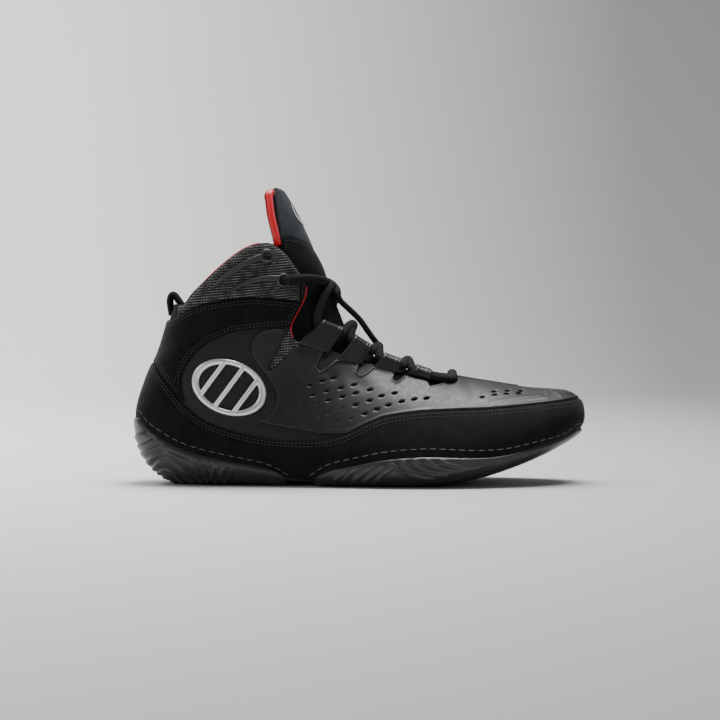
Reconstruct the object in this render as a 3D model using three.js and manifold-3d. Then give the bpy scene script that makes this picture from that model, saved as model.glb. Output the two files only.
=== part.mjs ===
// Wrestling shoe, right foot: toe to +X, outer side of the foot to -Y, up +Z, in mm.
import * as THREE from 'three';
import Module from 'manifold-3d';

const wasm = await Module();
wasm.setup();
const { Manifold, Mesh: SolidMesh } = wasm;

// Overall sizes
const LENGTH = 285;
const HEIGHT = 186;
const BALL_WIDTH = 97;
const SOLE = 4.5;

// Layers, as distances from the outer face of the upper
const GAP = 0.3;
const WALL = 2.2;
const VAMP = 1.1;
const PANEL = 1.3;
const RAND = 1.4;
const RUBBER = 1.0;
const RUBBER_DROP = 1.7;
const TREAD_STEP = 1.0;
const RIB = 0.9;
const RIB_WIDTH = 2.6;
const BADGE = 1.7;
const ARM = 2.0;
const TONGUE = 4.5;
const TONGUE_GAP = 0.45;
const SEAT = 2 * GAP + RAND;

// Laces, loops and small parts
const LACE = 4.6;
const LACE_ROOM = 0.45;
const LACE_TOUCH = 0.03;
const STRAP = 1.1;
const EYELET = 5.2;
const EYELET_RIM = 2.2;
const ARM_TAIL = 1.2;
const ARM_NECK = 5.0;
const PULL_WIDTH = 11;
const PULL_THICK = 1.6;
const BADGE_LENGTH = 48;
const BADGE_HEIGHT = 34;
const BADGE_BAR = 3.4;
const BADGE_SLANT = 10;
const BADGE_TILT = -0.35;

// How finely the last is cut into facets
const AROUND = 18;
const RINGS = 19;
const SIMPLE = 0.12;
const LACE_SIDES = 8;
const LACE_STEP = 9;
const HOLE_SIDES = 10;
const RIM_SIDES = 16;
const OVAL_SIDES = 26;
const LOOP_SIDES = 10;
const FAR = 400;

// Sections of the last, from the toe tip under the heel and up the ankle. Each joins
// a point of the sole line to a point of the ridge line. x is a share of LENGTH from
// the heel, z a share of the height above SOLE, centre, half and ridge are shares of
// BALL_WIDTH, widest is a share of the section's own height.
const COLUMNS = ['baseX', 'baseZ', 'topX', 'topZ', 'centre', 'half', 'crown', 'flat', 'widest', 'ridge'];
const LAST = [
  [0.987,  0.175, 0.991, 0.251,  0.062, 0.134,  2.0, 2.2, 0.48, 0.000],
  [0.966,  0.152, 0.979, 0.275,  0.062, 0.216,  2.0, 2.5, 0.42, 0.010],
  [0.939,  0.129, 0.957, 0.291,  0.057, 0.289,  2.0, 2.8, 0.36, 0.020],
  [0.899,  0.098, 0.922, 0.296,  0.046, 0.356,  2.0, 3.0, 0.32, 0.030],
  [0.837,  0.060, 0.866, 0.303,  0.031, 0.423,  1.9, 3.2, 0.28, 0.040],
  [0.762,  0.024, 0.799, 0.319,  0.010, 0.474, 1.75, 3.4, 0.25, 0.050],
  [0.677,  0.001, 0.726, 0.338, -0.005, 0.500,  1.6, 3.5, 0.23, 0.055],
  [0.588, -0.004, 0.644, 0.368, -0.015, 0.490, 1.55, 3.5, 0.22, 0.055],
  [0.488, -0.006, 0.573, 0.404, -0.021, 0.443,  1.5, 3.4, 0.22, 0.050],
  [0.377, -0.006, 0.517, 0.450, -0.015, 0.397,  1.5, 3.2, 0.24, 0.045],
  [0.266, -0.002, 0.482, 0.509, -0.010, 0.371, 1.55, 3.0, 0.27, 0.035],
  [0.166, -0.001, 0.464, 0.572,  0.000, 0.356,  1.6, 2.8, 0.32, 0.025],
  [0.082,  0.017, 0.451, 0.624,  0.000, 0.345,  1.7, 2.6, 0.38, 0.015],
  [0.028,  0.090, 0.437, 0.673,  0.000, 0.345,  1.8, 2.5, 0.44, 0.010],
  [0.008,  0.212, 0.424, 0.726,  0.000, 0.340,  1.9, 2.5, 0.48, 0.000],
  [0.028,  0.335, 0.408, 0.781,  0.000, 0.335,  2.0, 2.5, 0.50, 0.000],
  [0.055,  0.429, 0.393, 0.841,  0.000, 0.340,  2.1, 2.4, 0.50, 0.000],
  [0.075,  0.530, 0.371, 0.918,  0.000, 0.350,  2.1, 2.3, 0.50, 0.000],
  [0.091,  0.614, 0.346, 0.987,  0.000, 0.361,  2.1, 2.3, 0.50, 0.000],
  [0.104,  0.691, 0.322, 1.050,  0.000, 0.361,  2.1, 2.3, 0.50, 0.000],
].map((row) => Object.fromEntries(row.map((value, k) => [COLUMNS[k], value])));
const TOE_TIP = { x: 0.995, z: 0.209, centre: 0.062 };
const LAST_ROW = LAST.length - 1;

// Outlines of the side view: x share of LENGTH, z share of the height above SOLE
const COLLAR_EDGE = [
  [0.098, 0.599], [0.116, 0.606], [0.133, 0.640], [0.159, 0.678], [0.185, 0.716], [0.211, 0.750],
  [0.238, 0.781], [0.264, 0.802], [0.290, 0.812], [0.314, 0.805], [0.342, 0.771], [0.360, 0.731],
  [0.371, 0.706], [0.382, 0.658], [0.375, 0.610], [0.355, 0.551], [0.348, 0.520], [0.351, 0.493],
  [0.361, 0.471],
];
const THROAT_EDGE = [
  [0.361, 0.471], [0.401, 0.456], [0.440, 0.438], [0.482, 0.414], [0.526, 0.392], [0.561, 0.375],
  [0.596, 0.359], [0.627, 0.345], [0.653, 0.337], [0.675, 0.335], [0.692, 0.340], [0.710, 0.352],
];
const VAMP_EDGE = [
  [0.361, 0.464], [0.388, 0.454], [0.423, 0.440], [0.414, 0.416], [0.407, 0.382], [0.413, 0.372],
  [0.425, 0.385], [0.447, 0.411], [0.469, 0.411], [0.495, 0.401], [0.499, 0.389], [0.495, 0.368],
  [0.503, 0.358], [0.515, 0.368], [0.529, 0.387], [0.550, 0.378], [0.572, 0.368], [0.578, 0.358],
  [0.574, 0.344], [0.580, 0.336], [0.589, 0.344], [0.600, 0.358], [0.622, 0.351], [0.644, 0.342],
  [0.651, 0.334], [0.655, 0.320], [0.670, 0.325], [0.692, 0.335], [0.710, 0.349],
];
const VAMP_REAR = [
  [0.417, 0.160], [0.369, 0.172], [0.325, 0.184], [0.277, 0.199], [0.290, 0.209], [0.312, 0.247],
  [0.317, 0.298], [0.299, 0.350], [0.277, 0.398], [0.264, 0.439], [0.266, 0.480], [0.286, 0.511],
  [0.317, 0.517], [0.340, 0.514], [0.323, 0.448], [0.301, 0.387], [0.305, 0.373], [0.336, 0.421],
];
const RAND_EDGE = [
  [0.045, 0.398], [0.063, 0.356], [0.081, 0.323], [0.098, 0.288], [0.113, 0.260], [0.132, 0.235],
  [0.148, 0.215], [0.165, 0.199], [0.185, 0.186], [0.212, 0.172], [0.245, 0.158], [0.285, 0.146],
  [0.333, 0.138], [0.385, 0.136], [0.433, 0.142], [0.472, 0.161], [0.510, 0.190], [0.549, 0.215],
  [0.588, 0.226], [0.632, 0.235], [0.704, 0.240], [0.783, 0.244], [0.863, 0.254], [0.903, 0.260],
  [0.943, 0.266], [0.972, 0.271],
];
const VAMP_FOOT = 15;
const PANEL_TOP = [
  [0.083, 0.545], [0.104, 0.565], [0.135, 0.590], [0.174, 0.606], [0.222, 0.618], [0.270, 0.623],
  [0.318, 0.618], [0.350, 0.613], [0.371, 0.608],
];
const WINDOW_EDGE = [
  [0.340, 0.521], [0.318, 0.520], [0.286, 0.518], [0.254, 0.512], [0.222, 0.504], [0.190, 0.486],
  [0.165, 0.466], [0.142, 0.436], [0.126, 0.406], [0.112, 0.366], [0.109, 0.315], [0.117, 0.268],
];
const HEEL_UNIT = [
  [0.010, 0.206], [0.022, 0.182], [0.039, 0.160], [0.063, 0.136], [0.087, 0.115], [0.111, 0.099],
  [0.138, 0.085], [0.199, 0.062], [0.266, 0.042], [0.293, 0.031], [0.313, 0.018], [0.329, 0.001],
  [0.340, -0.010],
];
const FORE_UNIT = [
  [0.400, -0.007], [0.408, 0.007], [0.436, 0.033], [0.471, 0.047], [0.510, 0.061], [0.548, 0.073],
  [0.588, 0.081], [0.640, 0.086], [0.690, 0.084], [0.747, 0.080], [0.800, 0.082], [0.840, 0.090],
  [0.872, 0.101], [0.905, 0.112], [0.939, 0.124], [0.964, 0.140], [0.982, 0.160],
];
const TONGUE_EDGE = [
  [0.360, 0.927], [0.347, 0.962], [0.334, 0.983], [0.318, 0.997], [0.305, 1.000], [0.296, 0.991],
  [0.292, 0.976], [0.294, 0.960], [0.298, 0.908], [0.309, 0.833], [0.316, 0.788], [0.333, 0.747],
  [0.353, 0.702], [0.359, 0.616], [0.351, 0.530], [0.359, 0.461], [0.401, 0.389], [0.478, 0.338],
  [0.587, 0.293], [0.674, 0.283], [0.731, 0.300], [0.749, 0.324],
];
const INSOLE_TOP = [
  [0.008, 0.177], [0.033, 0.118], [0.082, 0.062], [0.144, 0.038], [0.277, 0.034], [0.433, 0.034],
  [0.588, 0.033], [0.677, 0.038], [0.762, 0.059], [0.837, 0.094], [0.899, 0.130], [0.939, 0.160],
  [0.977, 0.198],
];
const PULL_LINE = [
  [0.0752, 0.556], [0.0725, 0.580], [0.0716, 0.603], [0.0757, 0.625], [0.0865, 0.638],
  [0.0985, 0.630], [0.1070, 0.610], [0.1105, 0.585], [0.1065, 0.556],
];

// Ribs of the tread seen on the sides, as centre lines, then the centres of the heel's
// rings, whose radii are shares of LENGTH, widest step first
const RIBS = [
  [[0.463, 0.012], [0.482, 0.039], [0.504, 0.056]],
  [[0.482, 0.005], [0.504, 0.032], [0.530, 0.059]],
  [[0.504, 0.005], [0.530, 0.032], [0.551, 0.059]],
  [[0.530, 0.005], [0.556, 0.039], [0.577, 0.059]],
  [[0.569, 0.066], [0.590, 0.039], [0.629, 0.019]],
  [[0.593, 0.073], [0.621, 0.042], [0.664, 0.025]],
  [[0.621, 0.073], [0.651, 0.046], [0.694, 0.036]],
  [[0.651, 0.076], [0.686, 0.056], [0.729, 0.046]],
  [[0.686, 0.073], [0.725, 0.063], [0.768, 0.066]],
  [[0.166, 0.003], [0.177, 0.027], [0.181, 0.048]],
  [[0.183, 0.000], [0.196, 0.024], [0.201, 0.041]],
  [[0.201, 0.000], [0.214, 0.020], [0.220, 0.038]],
];
const RING_CENTRES = [[0.077, -0.014], [0.132, -0.012]];
const RING_RADII = [
  { back: 0.098, front: 0.063 },
  { back: 0.076, front: 0.043 },
  { back: 0.054, front: 0.023 },
];

const BADGE_CENTRE = [0.214, 0.317];

// Eyelet arms of the ankle: centre line from the tail to the ring
const ARMS = {
  upper: { line: [[0.177, 0.654], [0.205, 0.695], [0.249, 0.740], [0.281, 0.767]], ring: [0.298, 0.766] },
  lower: { line: [[0.211, 0.640], [0.244, 0.671], [0.281, 0.688], [0.318, 0.695]], ring: [0.333, 0.683] },
};

// Lace loops, from the ankle to the toe: side view points of the stitched base, then the
// ends of the fold as row of the last, angle and height over the upper as a share of LACE
const LOOPS = [
  { base: [[0.361, 0.461], [0.423, 0.440]], fold: [[11.90, 0.48, 0.43], [10.55, 0.32, 0.74]] },
  { base: [[0.453, 0.416], [0.495, 0.404]], fold: [[9.85, 0.25, 0.91], [8.95, 0.21, 1.09]] },
  { base: [[0.530, 0.385], [0.572, 0.368]], fold: [[8.40, 0.22, 1.04], [7.80, 0.22, 1.00]] },
  { base: [[0.604, 0.358], [0.643, 0.344]], fold: [[7.35, 0.23, 0.83], [6.90, 0.25, 0.74]] },
];
// Where the lace crosses the ridge, from the ankle to the toe, in the same terms
const CROSSINGS = [
  { row: 12.75, over: 0.26, rise: 0.30, lean: 0.25 },
  { row: 10.20, over: 0.52, rise: 0.10, lean: 0.13 },
  { row: 8.68, over: 0.78, rise: 0.06, lean: 0.08 },
  { row: 7.58, over: 0.74, rise: 0.05, lean: 0.08 },
];
const BAR = { row: 6.45, over: 0.48, lean: 0.2 };
const RING_RUN = [[0.350, 0.688], [0.378, 0.690], [0.411, 0.682]];
// Slack end of the lace, from the crossing at the ankle to the one it is tucked under
const SLACK = { from: 0, to: 2, side: 0.035, line: [
  [0.4735, 0.590], [0.4883, 0.567], [0.5017, 0.541], [0.5128, 0.511], [0.5225, 0.484],
] };

const side = ([x, z]) => [(x - 0.5) * LENGTH, SOLE + z * (HEIGHT - SOLE)];

// Values of the last between two rows, on a smooth curve through the rows around them
function section(t) {
  const last = Math.min(Math.floor(t), LAST_ROW - 1);
  const near = [-1, 0, 1, 2].map((k) => LAST[Math.max(0, Math.min(LAST_ROW, last + k))]);
  const u = t - last;
  const value = {};
  for (const name of Object.keys(LAST[0])) {
    const [a, b, c, d] = near.map((r) => r[name]);
    value[name] = b + 0.5 * u * (c - a + u * (2 * a - 5 * b + 4 * c - d + u * (3 * (b - c) + d - a)));
  }
  return value;
}

// Point of the upper's outer face: angle 0 is the ridge, up to half a turn the outer side
function lastPoint(t, angle) {
  const s = section(t);
  const [bx, bz] = side([s.baseX, s.baseZ]);
  const [tx, tz] = side([s.topX, s.topZ]);
  const up = Math.cos(angle);
  const across = Math.sin(angle);
  const power = up >= 0 ? s.crown : s.flat;
  const r = (Math.abs(up) ** power + Math.abs(across) ** power) ** (-1 / power);
  const level = s.widest + (up >= 0 ? 1 - s.widest : s.widest) * r * up;
  const y = s.centre - s.half * r * across + s.ridge * level * level;
  return new THREE.Vector3(bx + (tx - bx) * level, y * BALL_WIDTH, bz + (tz - bz) * level);
}

// The same point moved out of the last by a distance
function skin(t, angle, offset) {
  const point = lastPoint(t, angle);
  const step = 0.02;
  const low = Math.max(0, t - step);
  const high = Math.min(LAST_ROW, t + step);
  const along = lastPoint(high, angle).sub(lastPoint(low, angle));
  const around = lastPoint(t, angle + step).sub(lastPoint(t, angle - step));
  return point.addScaledVector(along.cross(around).normalize(), offset);
}

function solid(points, triangles) {
  const mesh = new SolidMesh({
    numProp: 3,
    vertProperties: new Float32Array(points.flat()),
    triVerts: new Uint32Array(triangles.flat()),
  });
  mesh.merge();
  return new Manifold(mesh);
}

// The last grown by an offset, closed at the toe and across the ankle
const forms = new Map();
function form(offset) {
  if (forms.has(offset)) return forms.get(offset);
  const rings = RINGS + 1;
  const points = [];
  const triangles = [];
  for (let i = 0; i < rings; i++) {
    for (let j = 0; j < AROUND; j++) {
      points.push(skin((i * LAST_ROW) / RINGS, (2 * Math.PI * j) / AROUND, offset).toArray());
    }
  }
  const [tipX, tipZ] = side([TOE_TIP.x, TOE_TIP.z]);
  const tip = points.push([tipX + offset, TOE_TIP.centre * BALL_WIDTH, tipZ]) - 1;
  const end = (rings - 1) * AROUND;
  const middle = points.slice(end, end + AROUND)
    .reduce((sum, p) => sum.map((v, k) => v + p[k] / AROUND), [0, 0, 0]);
  const cap = points.push(middle) - 1;
  for (let j = 0; j < AROUND; j++) {
    const k = (j + 1) % AROUND;
    triangles.push([tip, j, k], [cap, end + k, end + j]);
    for (let i = 0; i < rings - 1; i++) {
      const a = i * AROUND;
      const b = a + AROUND;
      triangles.push([a + j, b + j, b + k], [a + j, b + k, a + k]);
    }
  }
  forms.set(offset, solid(points, triangles));
  return forms.get(offset);
}
const layer = (inner, outer) => form(outer).subtract(form(inner));

// Solid of an extruded outline; turned, its outline lies in the side view
function extruded(outline, depth, lift, turned) {
  const shape = new THREE.Shape(outline.map(([a, b]) => new THREE.Vector2(a, b)));
  const body = new THREE.ExtrudeGeometry(shape, { depth, bevelEnabled: false, steps: 1 });
  if (turned) body.rotateX(Math.PI / 2);
  body.translate(0, turned ? lift + depth : 0, turned ? 0 : lift);
  const place = body.getAttribute('position');
  const points = [];
  const seen = new Map();
  const corner = (i) => {
    const p = [place.getX(i), place.getY(i), place.getZ(i)];
    const key = p.map((v) => Math.round(v * 1e4)).join();
    if (!seen.has(key)) seen.set(key, points.push(p) - 1);
    return seen.get(key);
  };
  const triangles = [];
  for (let i = 0; i < place.count; i += 3) {
    const t = [corner(i), corner(i + 1), corner(i + 2)];
    if (new Set(t).size === 3) triangles.push(t);
  }
  return solid(points, triangles);
}
const ACROSS = { both: [2 * FAR, -FAR], outer: [FAR, -FAR], inner: [FAR, 0] };
const across = (outline, reach = 'both') => extruded(outline, ...ACROSS[reach], true);

// Smooth curve through side view points, in mm
function curve(shares, pieces = 2) {
  const points = shares.map((p) => new THREE.Vector2(...side(p)));
  return new THREE.SplineCurve(points).getPoints((points.length - 1) * pieces).map((p) => p.toArray());
}

// Outline moved outwards by a distance
function grown(outline, distance) {
  const turn = Math.sign(THREE.ShapeUtils.area(outline.map(([x, y]) => new THREE.Vector2(x, y))));
  return outline.map((p, i) => {
    const before = outline[(i + outline.length - 1) % outline.length];
    const after = outline[(i + 1) % outline.length];
    const a = new THREE.Vector2(p[1] - before[1], before[0] - p[0]).normalize();
    const b = new THREE.Vector2(after[1] - p[1], p[0] - after[0]).normalize();
    const out = a.add(b);
    const length = Math.max(out.lengthSq() / 2, 0.5);
    return [p[0] + (turn * distance * out.x) / length, p[1] + (turn * distance * out.y) / length];
  });
}

// Strip of even or tapering width along a side view line
function strip(line, width, tail = width) {
  const left = [];
  const right = [];
  line.forEach(([x, z], i) => {
    const a = line[Math.max(0, i - 1)];
    const b = line[Math.min(line.length - 1, i + 1)];
    const n = new THREE.Vector2(a[1] - b[1], b[0] - a[0]).normalize();
    const half = (tail + ((width - tail) * i) / (line.length - 1)) / 2;
    left.push([x + n.x * half, z + n.y * half]);
    right.unshift([x - n.x * half, z - n.y * half]);
  });
  return [...left, ...right];
}

const circle = ([x, z], radius, count = RIM_SIDES) => Array.from({ length: count }, (_, i) => {
  const a = (2 * Math.PI * i) / count;
  return [x + radius * Math.cos(a), z + radius * Math.sin(a)];
});

// Row and angle of the last whose skin lies at a side view point of one side
function locate([x, z], sign) {
  let best = { miss: Infinity };
  const look = (t0, t1, a0, a1) => {
    const steps = 24;
    for (let i = 0; i <= steps; i++) {
      for (let j = 0; j <= steps; j++) {
        const t = Math.max(0, Math.min(LAST_ROW, t0 + ((t1 - t0) * i) / steps));
        const angle = a0 + ((a1 - a0) * j) / steps;
        const p = lastPoint(t, sign * angle);
        const miss = Math.hypot(p.x - x, p.z - z);
        if (miss < best.miss) best = { miss, t, angle };
      }
    }
  };
  look(0, LAST_ROW, 0, Math.PI);
  for (let span = 0.5; span > 0.005; span /= 4) {
    look(best.t - span, best.t + span, best.angle - span / 2, best.angle + span / 2);
  }
  return best;
}
function onSide(point, sign, offset) {
  const { t, angle } = locate(side(point), sign);
  return skin(t, sign * angle, offset);
}

const above = (edge) => {
  const line = curve(edge);
  return [...line, [line.at(-1)[0], FAR], [-FAR, FAR], [-FAR, line[0][1]]];
};
const below = (line) => [...line, [FAR, line.at(-1)[1]], [FAR, -FAR], [-FAR, -FAR], [-FAR, line[0][1]]];

// Everything in front of and above the collar and throat edges
const mouthOutline = above([...COLLAR_EDGE.slice(0, -1), ...THROAT_EDGE]);
const mouth = across(mouthOutline);
const beside = (outer) => form(outer).subtract(across(grown(mouthOutline, -GAP)));

// Plan of the opening under the foot, where the lasting margin of the upper ends
const MARGIN_ANGLE = 0.66;
const MARGIN_ROWS = { from: 2.5, to: 11.6, count: 10 };
const MARGIN_TOP = 0.18;
function boardPlan(distance) {
  const outer = [];
  const inner = [];
  const { from, to, count } = MARGIN_ROWS;
  for (let i = 0; i <= count; i++) {
    const t = from + ((to - from) * i) / count;
    const a = lastPoint(t, Math.PI - MARGIN_ANGLE);
    const b = lastPoint(t, Math.PI + MARGIN_ANGLE);
    outer.push([a.x, a.y]);
    inner.unshift([b.x, b.y]);
  }
  const top = side([0, MARGIN_TOP])[1];
  return extruded(grown([...outer, ...inner], distance), top + SOLE, -SOLE, false);
}

// The upper: one hollow wall, open at the collar, the throat and under the foot
function upper() {
  const holes = Object.values(ARMS).map(({ ring }) => across(circle(side(ring), EYELET / 2, HOLE_SIDES)));
  return layer(-WALL, 0).subtract(mouth).subtract(boardPlan(0)).subtract(Manifold.union(holes))
    .subtract(laceRoom());
}

const randOutline = below(curve(RAND_EDGE, 1));
function rand() {
  return layer(GAP, GAP + RAND).intersect(across(randOutline)).subtract(boardPlan(0));
}

function vamp() {
  const edge = VAMP_EDGE.map(side);
  const front = edge.at(-1);
  const rear = VAMP_REAR.map(side);
  const lower = RAND_EDGE.slice(VAMP_FOOT).reverse().map(side);
  const outline = [...edge, [front[0], FAR], [FAR, FAR], [FAR, lower[0][1]], ...lower, ...rear];
  return layer(GAP, GAP + VAMP).intersect(across(outline)).subtract(across(grown(randOutline, GAP)))
    .subtract(mouth);
}

function anklePanel() {
  const top = curve(PANEL_TOP, 1);
  const outline = [...top, [FAR, top.at(-1)[1]], [FAR, side(WINDOW_EDGE[0])[1]], ...curve(WINDOW_EDGE, 1),
    [-FAR, -FAR], [-FAR, top[0][1]]];
  return layer(GAP, GAP + PANEL).intersect(across(outline)).subtract(mouth)
    .subtract(across(grown(randOutline, GAP)));
}

// The outsole: a heel and a forefoot unit in steps and ribs, joined by the raised board
// that fills the opening of the upper
function outsole() {
  const units = Manifold.union([
    across([...curve(HEEL_UNIT, 1), [side(HEEL_UNIT.at(-1))[0], -FAR], [-FAR, -FAR],
      [-FAR, side(HEEL_UNIT[0])[1]]]),
    across([...curve(FORE_UNIT, 1), [FAR, side(FORE_UNIT.at(-1))[1]], [FAR, -FAR],
      [side(FORE_UNIT[0])[0], -FAR]]),
  ]);
  const block = (out) => form(SEAT + RUBBER + out).translate([0, 0, -RUBBER_DROP]).intersect(units);
  const steps = RING_RADII.map(({ back, front }, i) => {
    const [rear, fore] = RING_CENTRES.map(side);
    const rings = across(circle(rear, back * LENGTH)).add(across(circle(fore, front * LENGTH)));
    return block((i + 1) * TREAD_STEP).intersect(rings);
  });
  const ribs = RIBS.map((line) => across(strip(line.map(side), RIB_WIDTH)));
  const board = layer(-WALL, SEAT + RUBBER).intersect(boardPlan(-GAP));
  const raised = block(RIB).intersect(Manifold.union(ribs));
  return Manifold.union([block(0), ...steps, raised]).subtract(form(SEAT)).add(board)
    .trimByPlane([0, 0, 1], 0);
}

function insole() {
  const top = below(curve(INSOLE_TOP, 1));
  return form(-WALL - GAP).intersect(across(top));
}

function tongue() {
  const line = curve(TONGUE_EDGE, 1);
  const outline = [...line, [FAR, line.at(-1)[1]], [FAR, line[0][1]]];
  const front = -WALL - TONGUE_GAP;
  return layer(front - TONGUE, front).intersect(across(outline));
}

function pullLoop() {
  const outline = strip(curve(PULL_LINE, 2), PULL_THICK);
  return extruded(outline, PULL_WIDTH, -PULL_WIDTH / 2, true);
}

// Folded leather strap: a drop shaped skin from the base line up around the lace
function loopFrame(loop, sign) {
  return {
    base: loop.base.map((p) => onSide(p, sign, VAMP + 2 * GAP)),
    axis: loop.fold.map(([row, angle, over]) => skin(row, sign * angle, over * LACE)),
  };
}

function laceLoop(loop, sign) {
  const { base, axis } = loopFrame(loop, sign);
  const radius = STRAP + GAP + LACE / 2;
  const along = axis[1].clone().sub(axis[0]).normalize();
  const points = [];
  [0, 1].forEach((end) => {
    const down = base[end].clone().sub(axis[end]);
    down.addScaledVector(along, -down.dot(along)).normalize();
    const out = new THREE.Vector3().crossVectors(along, down);
    for (let i = 0; i < LOOP_SIDES; i++) {
      const a = (2 * Math.PI * (i + 0.5)) / LOOP_SIDES;
      const point = axis[end].clone().addScaledVector(down, radius * Math.cos(a));
      points.push(point.addScaledVector(out, radius * Math.sin(a)).toArray());
    }
    for (const half of [STRAP, -STRAP]) {
      points.push(base[end].clone().addScaledVector(out, half).addScaledVector(down, STRAP).toArray());
    }
  });
  return Manifold.hull(points).subtract(laceRoom()).subtract(beside(2 * GAP + VAMP))
    .subtract(form(-WALL - TONGUE_GAP / 2));
}

// Round tube through points
function tube(points, radius) {
  const path = new THREE.CatmullRomCurve3(points, false, 'centripetal');
  const steps = Math.round(path.getLength() / LACE_STEP);
  const centre = path.getSpacedPoints(steps);
  const verts = [];
  const triangles = [];
  const up = new THREE.Vector3(0, 0, 1);
  let normal = null;
  centre.forEach((p, i) => {
    const tangent = centre[Math.min(steps, i + 1)].clone().sub(centre[Math.max(0, i - 1)]).normalize();
    normal = (normal || (Math.abs(tangent.z) > 0.9 ? new THREE.Vector3(0, 1, 0) : up)).clone();
    normal.addScaledVector(tangent, -normal.dot(tangent)).normalize();
    const other = new THREE.Vector3().crossVectors(tangent, normal);
    for (let j = 0; j < LACE_SIDES; j++) {
      const a = (2 * Math.PI * j) / LACE_SIDES;
      verts.push(p.clone().addScaledVector(normal, radius * Math.cos(a))
        .addScaledVector(other, radius * Math.sin(a)).toArray());
    }
  });
  const end = steps * LACE_SIDES;
  for (let j = 0; j < LACE_SIDES; j++) {
    const k = (j + 1) % LACE_SIDES;
    if (j > 0 && k > 0) triangles.push([0, k, j], [end, end + j, end + k]);
    for (let i = 0; i < end; i += LACE_SIDES) {
      triangles.push([i + j, i + k, i + LACE_SIDES + k], [i + j, i + LACE_SIDES + k, i + LACE_SIDES + j]);
    }
  }
  return solid(verts, triangles);
}

// The lace: out of the lower eyelets, over the ridge and through the loops to the bar
function laceRuns() {
  const frames = LOOPS.map((loop) => ({ '1': loopFrame(loop, 1).axis, '-1': loopFrame(loop, -1).axis }));
  const cross = (c, sign) => [1, 0, -1].map((k) => (
    skin(c.row - k * c.rise, k * sign * c.lean, c.over * LACE)));
  const ends = ([rear, front]) => {
    const along = front.clone().sub(rear).normalize();
    return [front.clone().add(along), front.clone().lerp(rear, 0.5), rear.clone().sub(along)];
  };
  return [1, -1].map((first) => {
    const points = [0, first * BAR.lean].map((angle) => skin(BAR.row, angle, BAR.over * LACE));
    let sign = first;
    for (let k = LOOPS.length - 1; k >= 0; k--) {
      points.push(...ends(frames[k][sign]));
      points.push(...cross(CROSSINGS[k], sign));
      sign = -sign;
    }
    RING_RUN.slice().reverse().forEach((p) => points.push(onSide(p, sign, GAP + ARM + LACE / 2)));
    points.push(onSide(ARMS.lower.ring, sign, ARM), onSide(ARMS.lower.ring, sign, -WALL / 2));
    return points;
  });
}

const lacing = (radius) => Manifold.union(laceRuns().map((points) => tube(points, radius)));
const laceRoom = () => lacing(LACE / 2 + LACE_ROOM);

function laceEnd() {
  const [start, end] = [SLACK.from, SLACK.to]
    .map((k) => skin(CROSSINGS[k].row, 0, CROSSINGS[k].over * LACE));
  const points = SLACK.line.map((p) => {
    const [x, z] = side(p);
    return new THREE.Vector3(x, SLACK.side * BALL_WIDTH, z);
  });
  const parts = tube([start, ...points, end], LACE / 2).subtract(lacing(LACE / 2 + LACE_TOUCH)).decompose();
  return parts.sort((a, b) => b.volume() - a.volume())[0];
}

// Moulded arm with its eyelet ring, laid on the upper
function eyeletArm({ line, ring }, reach) {
  const centre = side(ring);
  const arm = across(strip(curve([...line, ring], 1), ARM_NECK, ARM_TAIL), reach);
  const rim = across(circle(centre, EYELET / 2 + EYELET_RIM), reach);
  const hole = across(circle(centre, EYELET / 2, HOLE_SIDES), reach);
  return layer(GAP, GAP + ARM).intersect(arm.add(rim)).subtract(hole).subtract(mouth)
    .subtract(laceRoom());
}

// Oval grille of slanting bars on the outer side
function sideBadge() {
  const [x, z] = side(BADGE_CENTRE);
  const turn = ([a, b]) => [
    x + a * Math.cos(BADGE_TILT) - b * Math.sin(BADGE_TILT),
    z + a * Math.sin(BADGE_TILT) + b * Math.cos(BADGE_TILT)];
  const oval = (inset) => circle([0, 0], 1, OVAL_SIDES)
    .map(([a, b]) => turn([a * (BADGE_LENGTH / 2 - inset), b * (BADGE_HEIGHT / 2 - inset)]));
  const bars = [-1, 0, 1].map((k) => {
    const middle = (k * BADGE_LENGTH) / 4;
    const ends = [[middle - BADGE_SLANT / 2, -BADGE_HEIGHT], [middle + BADGE_SLANT / 2, BADGE_HEIGHT]];
    return across(strip(ends.map(turn), BADGE_BAR), 'outer');
  });
  const plate = across(oval(0), 'outer');
  const grille = plate.subtract(across(oval(BADGE_BAR), 'outer')).add(Manifold.union(bars).intersect(plate));
  return layer(GAP, GAP + BADGE).intersect(grille);
}

const MATERIALS = {
  textile: { color: 0x232426, roughness: 0.9, metalness: 0 },
  leather: { color: 0x25272a, roughness: 0.45, metalness: 0 },
  suede: { color: 0x121416, roughness: 0.95, metalness: 0 },
  rubber: { color: 0x403f40, roughness: 0.7, metalness: 0 },
  moulding: { color: 0x3a3b3d, roughness: 0.6, metalness: 0 },
  foam: { color: 0x8c1a26, roughness: 0.9, metalness: 0 },
  lace: { color: 0x1a1b1c, roughness: 0.9, metalness: 0 },
  badge: { color: 0xb8babd, roughness: 0.3, metalness: 0 },
};

const shoe = new THREE.Group();
const built = [];
function piece(name, body, material) {
  built.push({ name, body: body.simplify(SIMPLE), material });
}

piece('upper', upper(), 'textile');
piece('outsole', outsole(), 'rubber');
piece('insole', insole(), 'foam');
piece('tongue', tongue(), 'textile');
piece('vamp', vamp(), 'leather');
piece('rand', rand(), 'suede');
piece('ankle_panel', anklePanel(), 'suede');
piece('pull_loop', pullLoop(), 'textile');
for (const [label, sign] of [['lateral', 1], ['medial', -1]]) {
  LOOPS.forEach((loop, i) => piece(`lace_loop_${label}_${i + 1}`, laceLoop(loop, sign), 'leather'));
  for (const [height, arm] of Object.entries(ARMS)) {
    piece(`eyelet_arm_${label}_${height}`, eyeletArm(arm, sign > 0 ? 'outer' : 'inner'), 'moulding');
  }
}
piece('side_badge', sideBadge(), 'badge');
piece('lace_crossings', lacing(LACE / 2), 'lace');
piece('lace_end', laceEnd(), 'lace');

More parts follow.
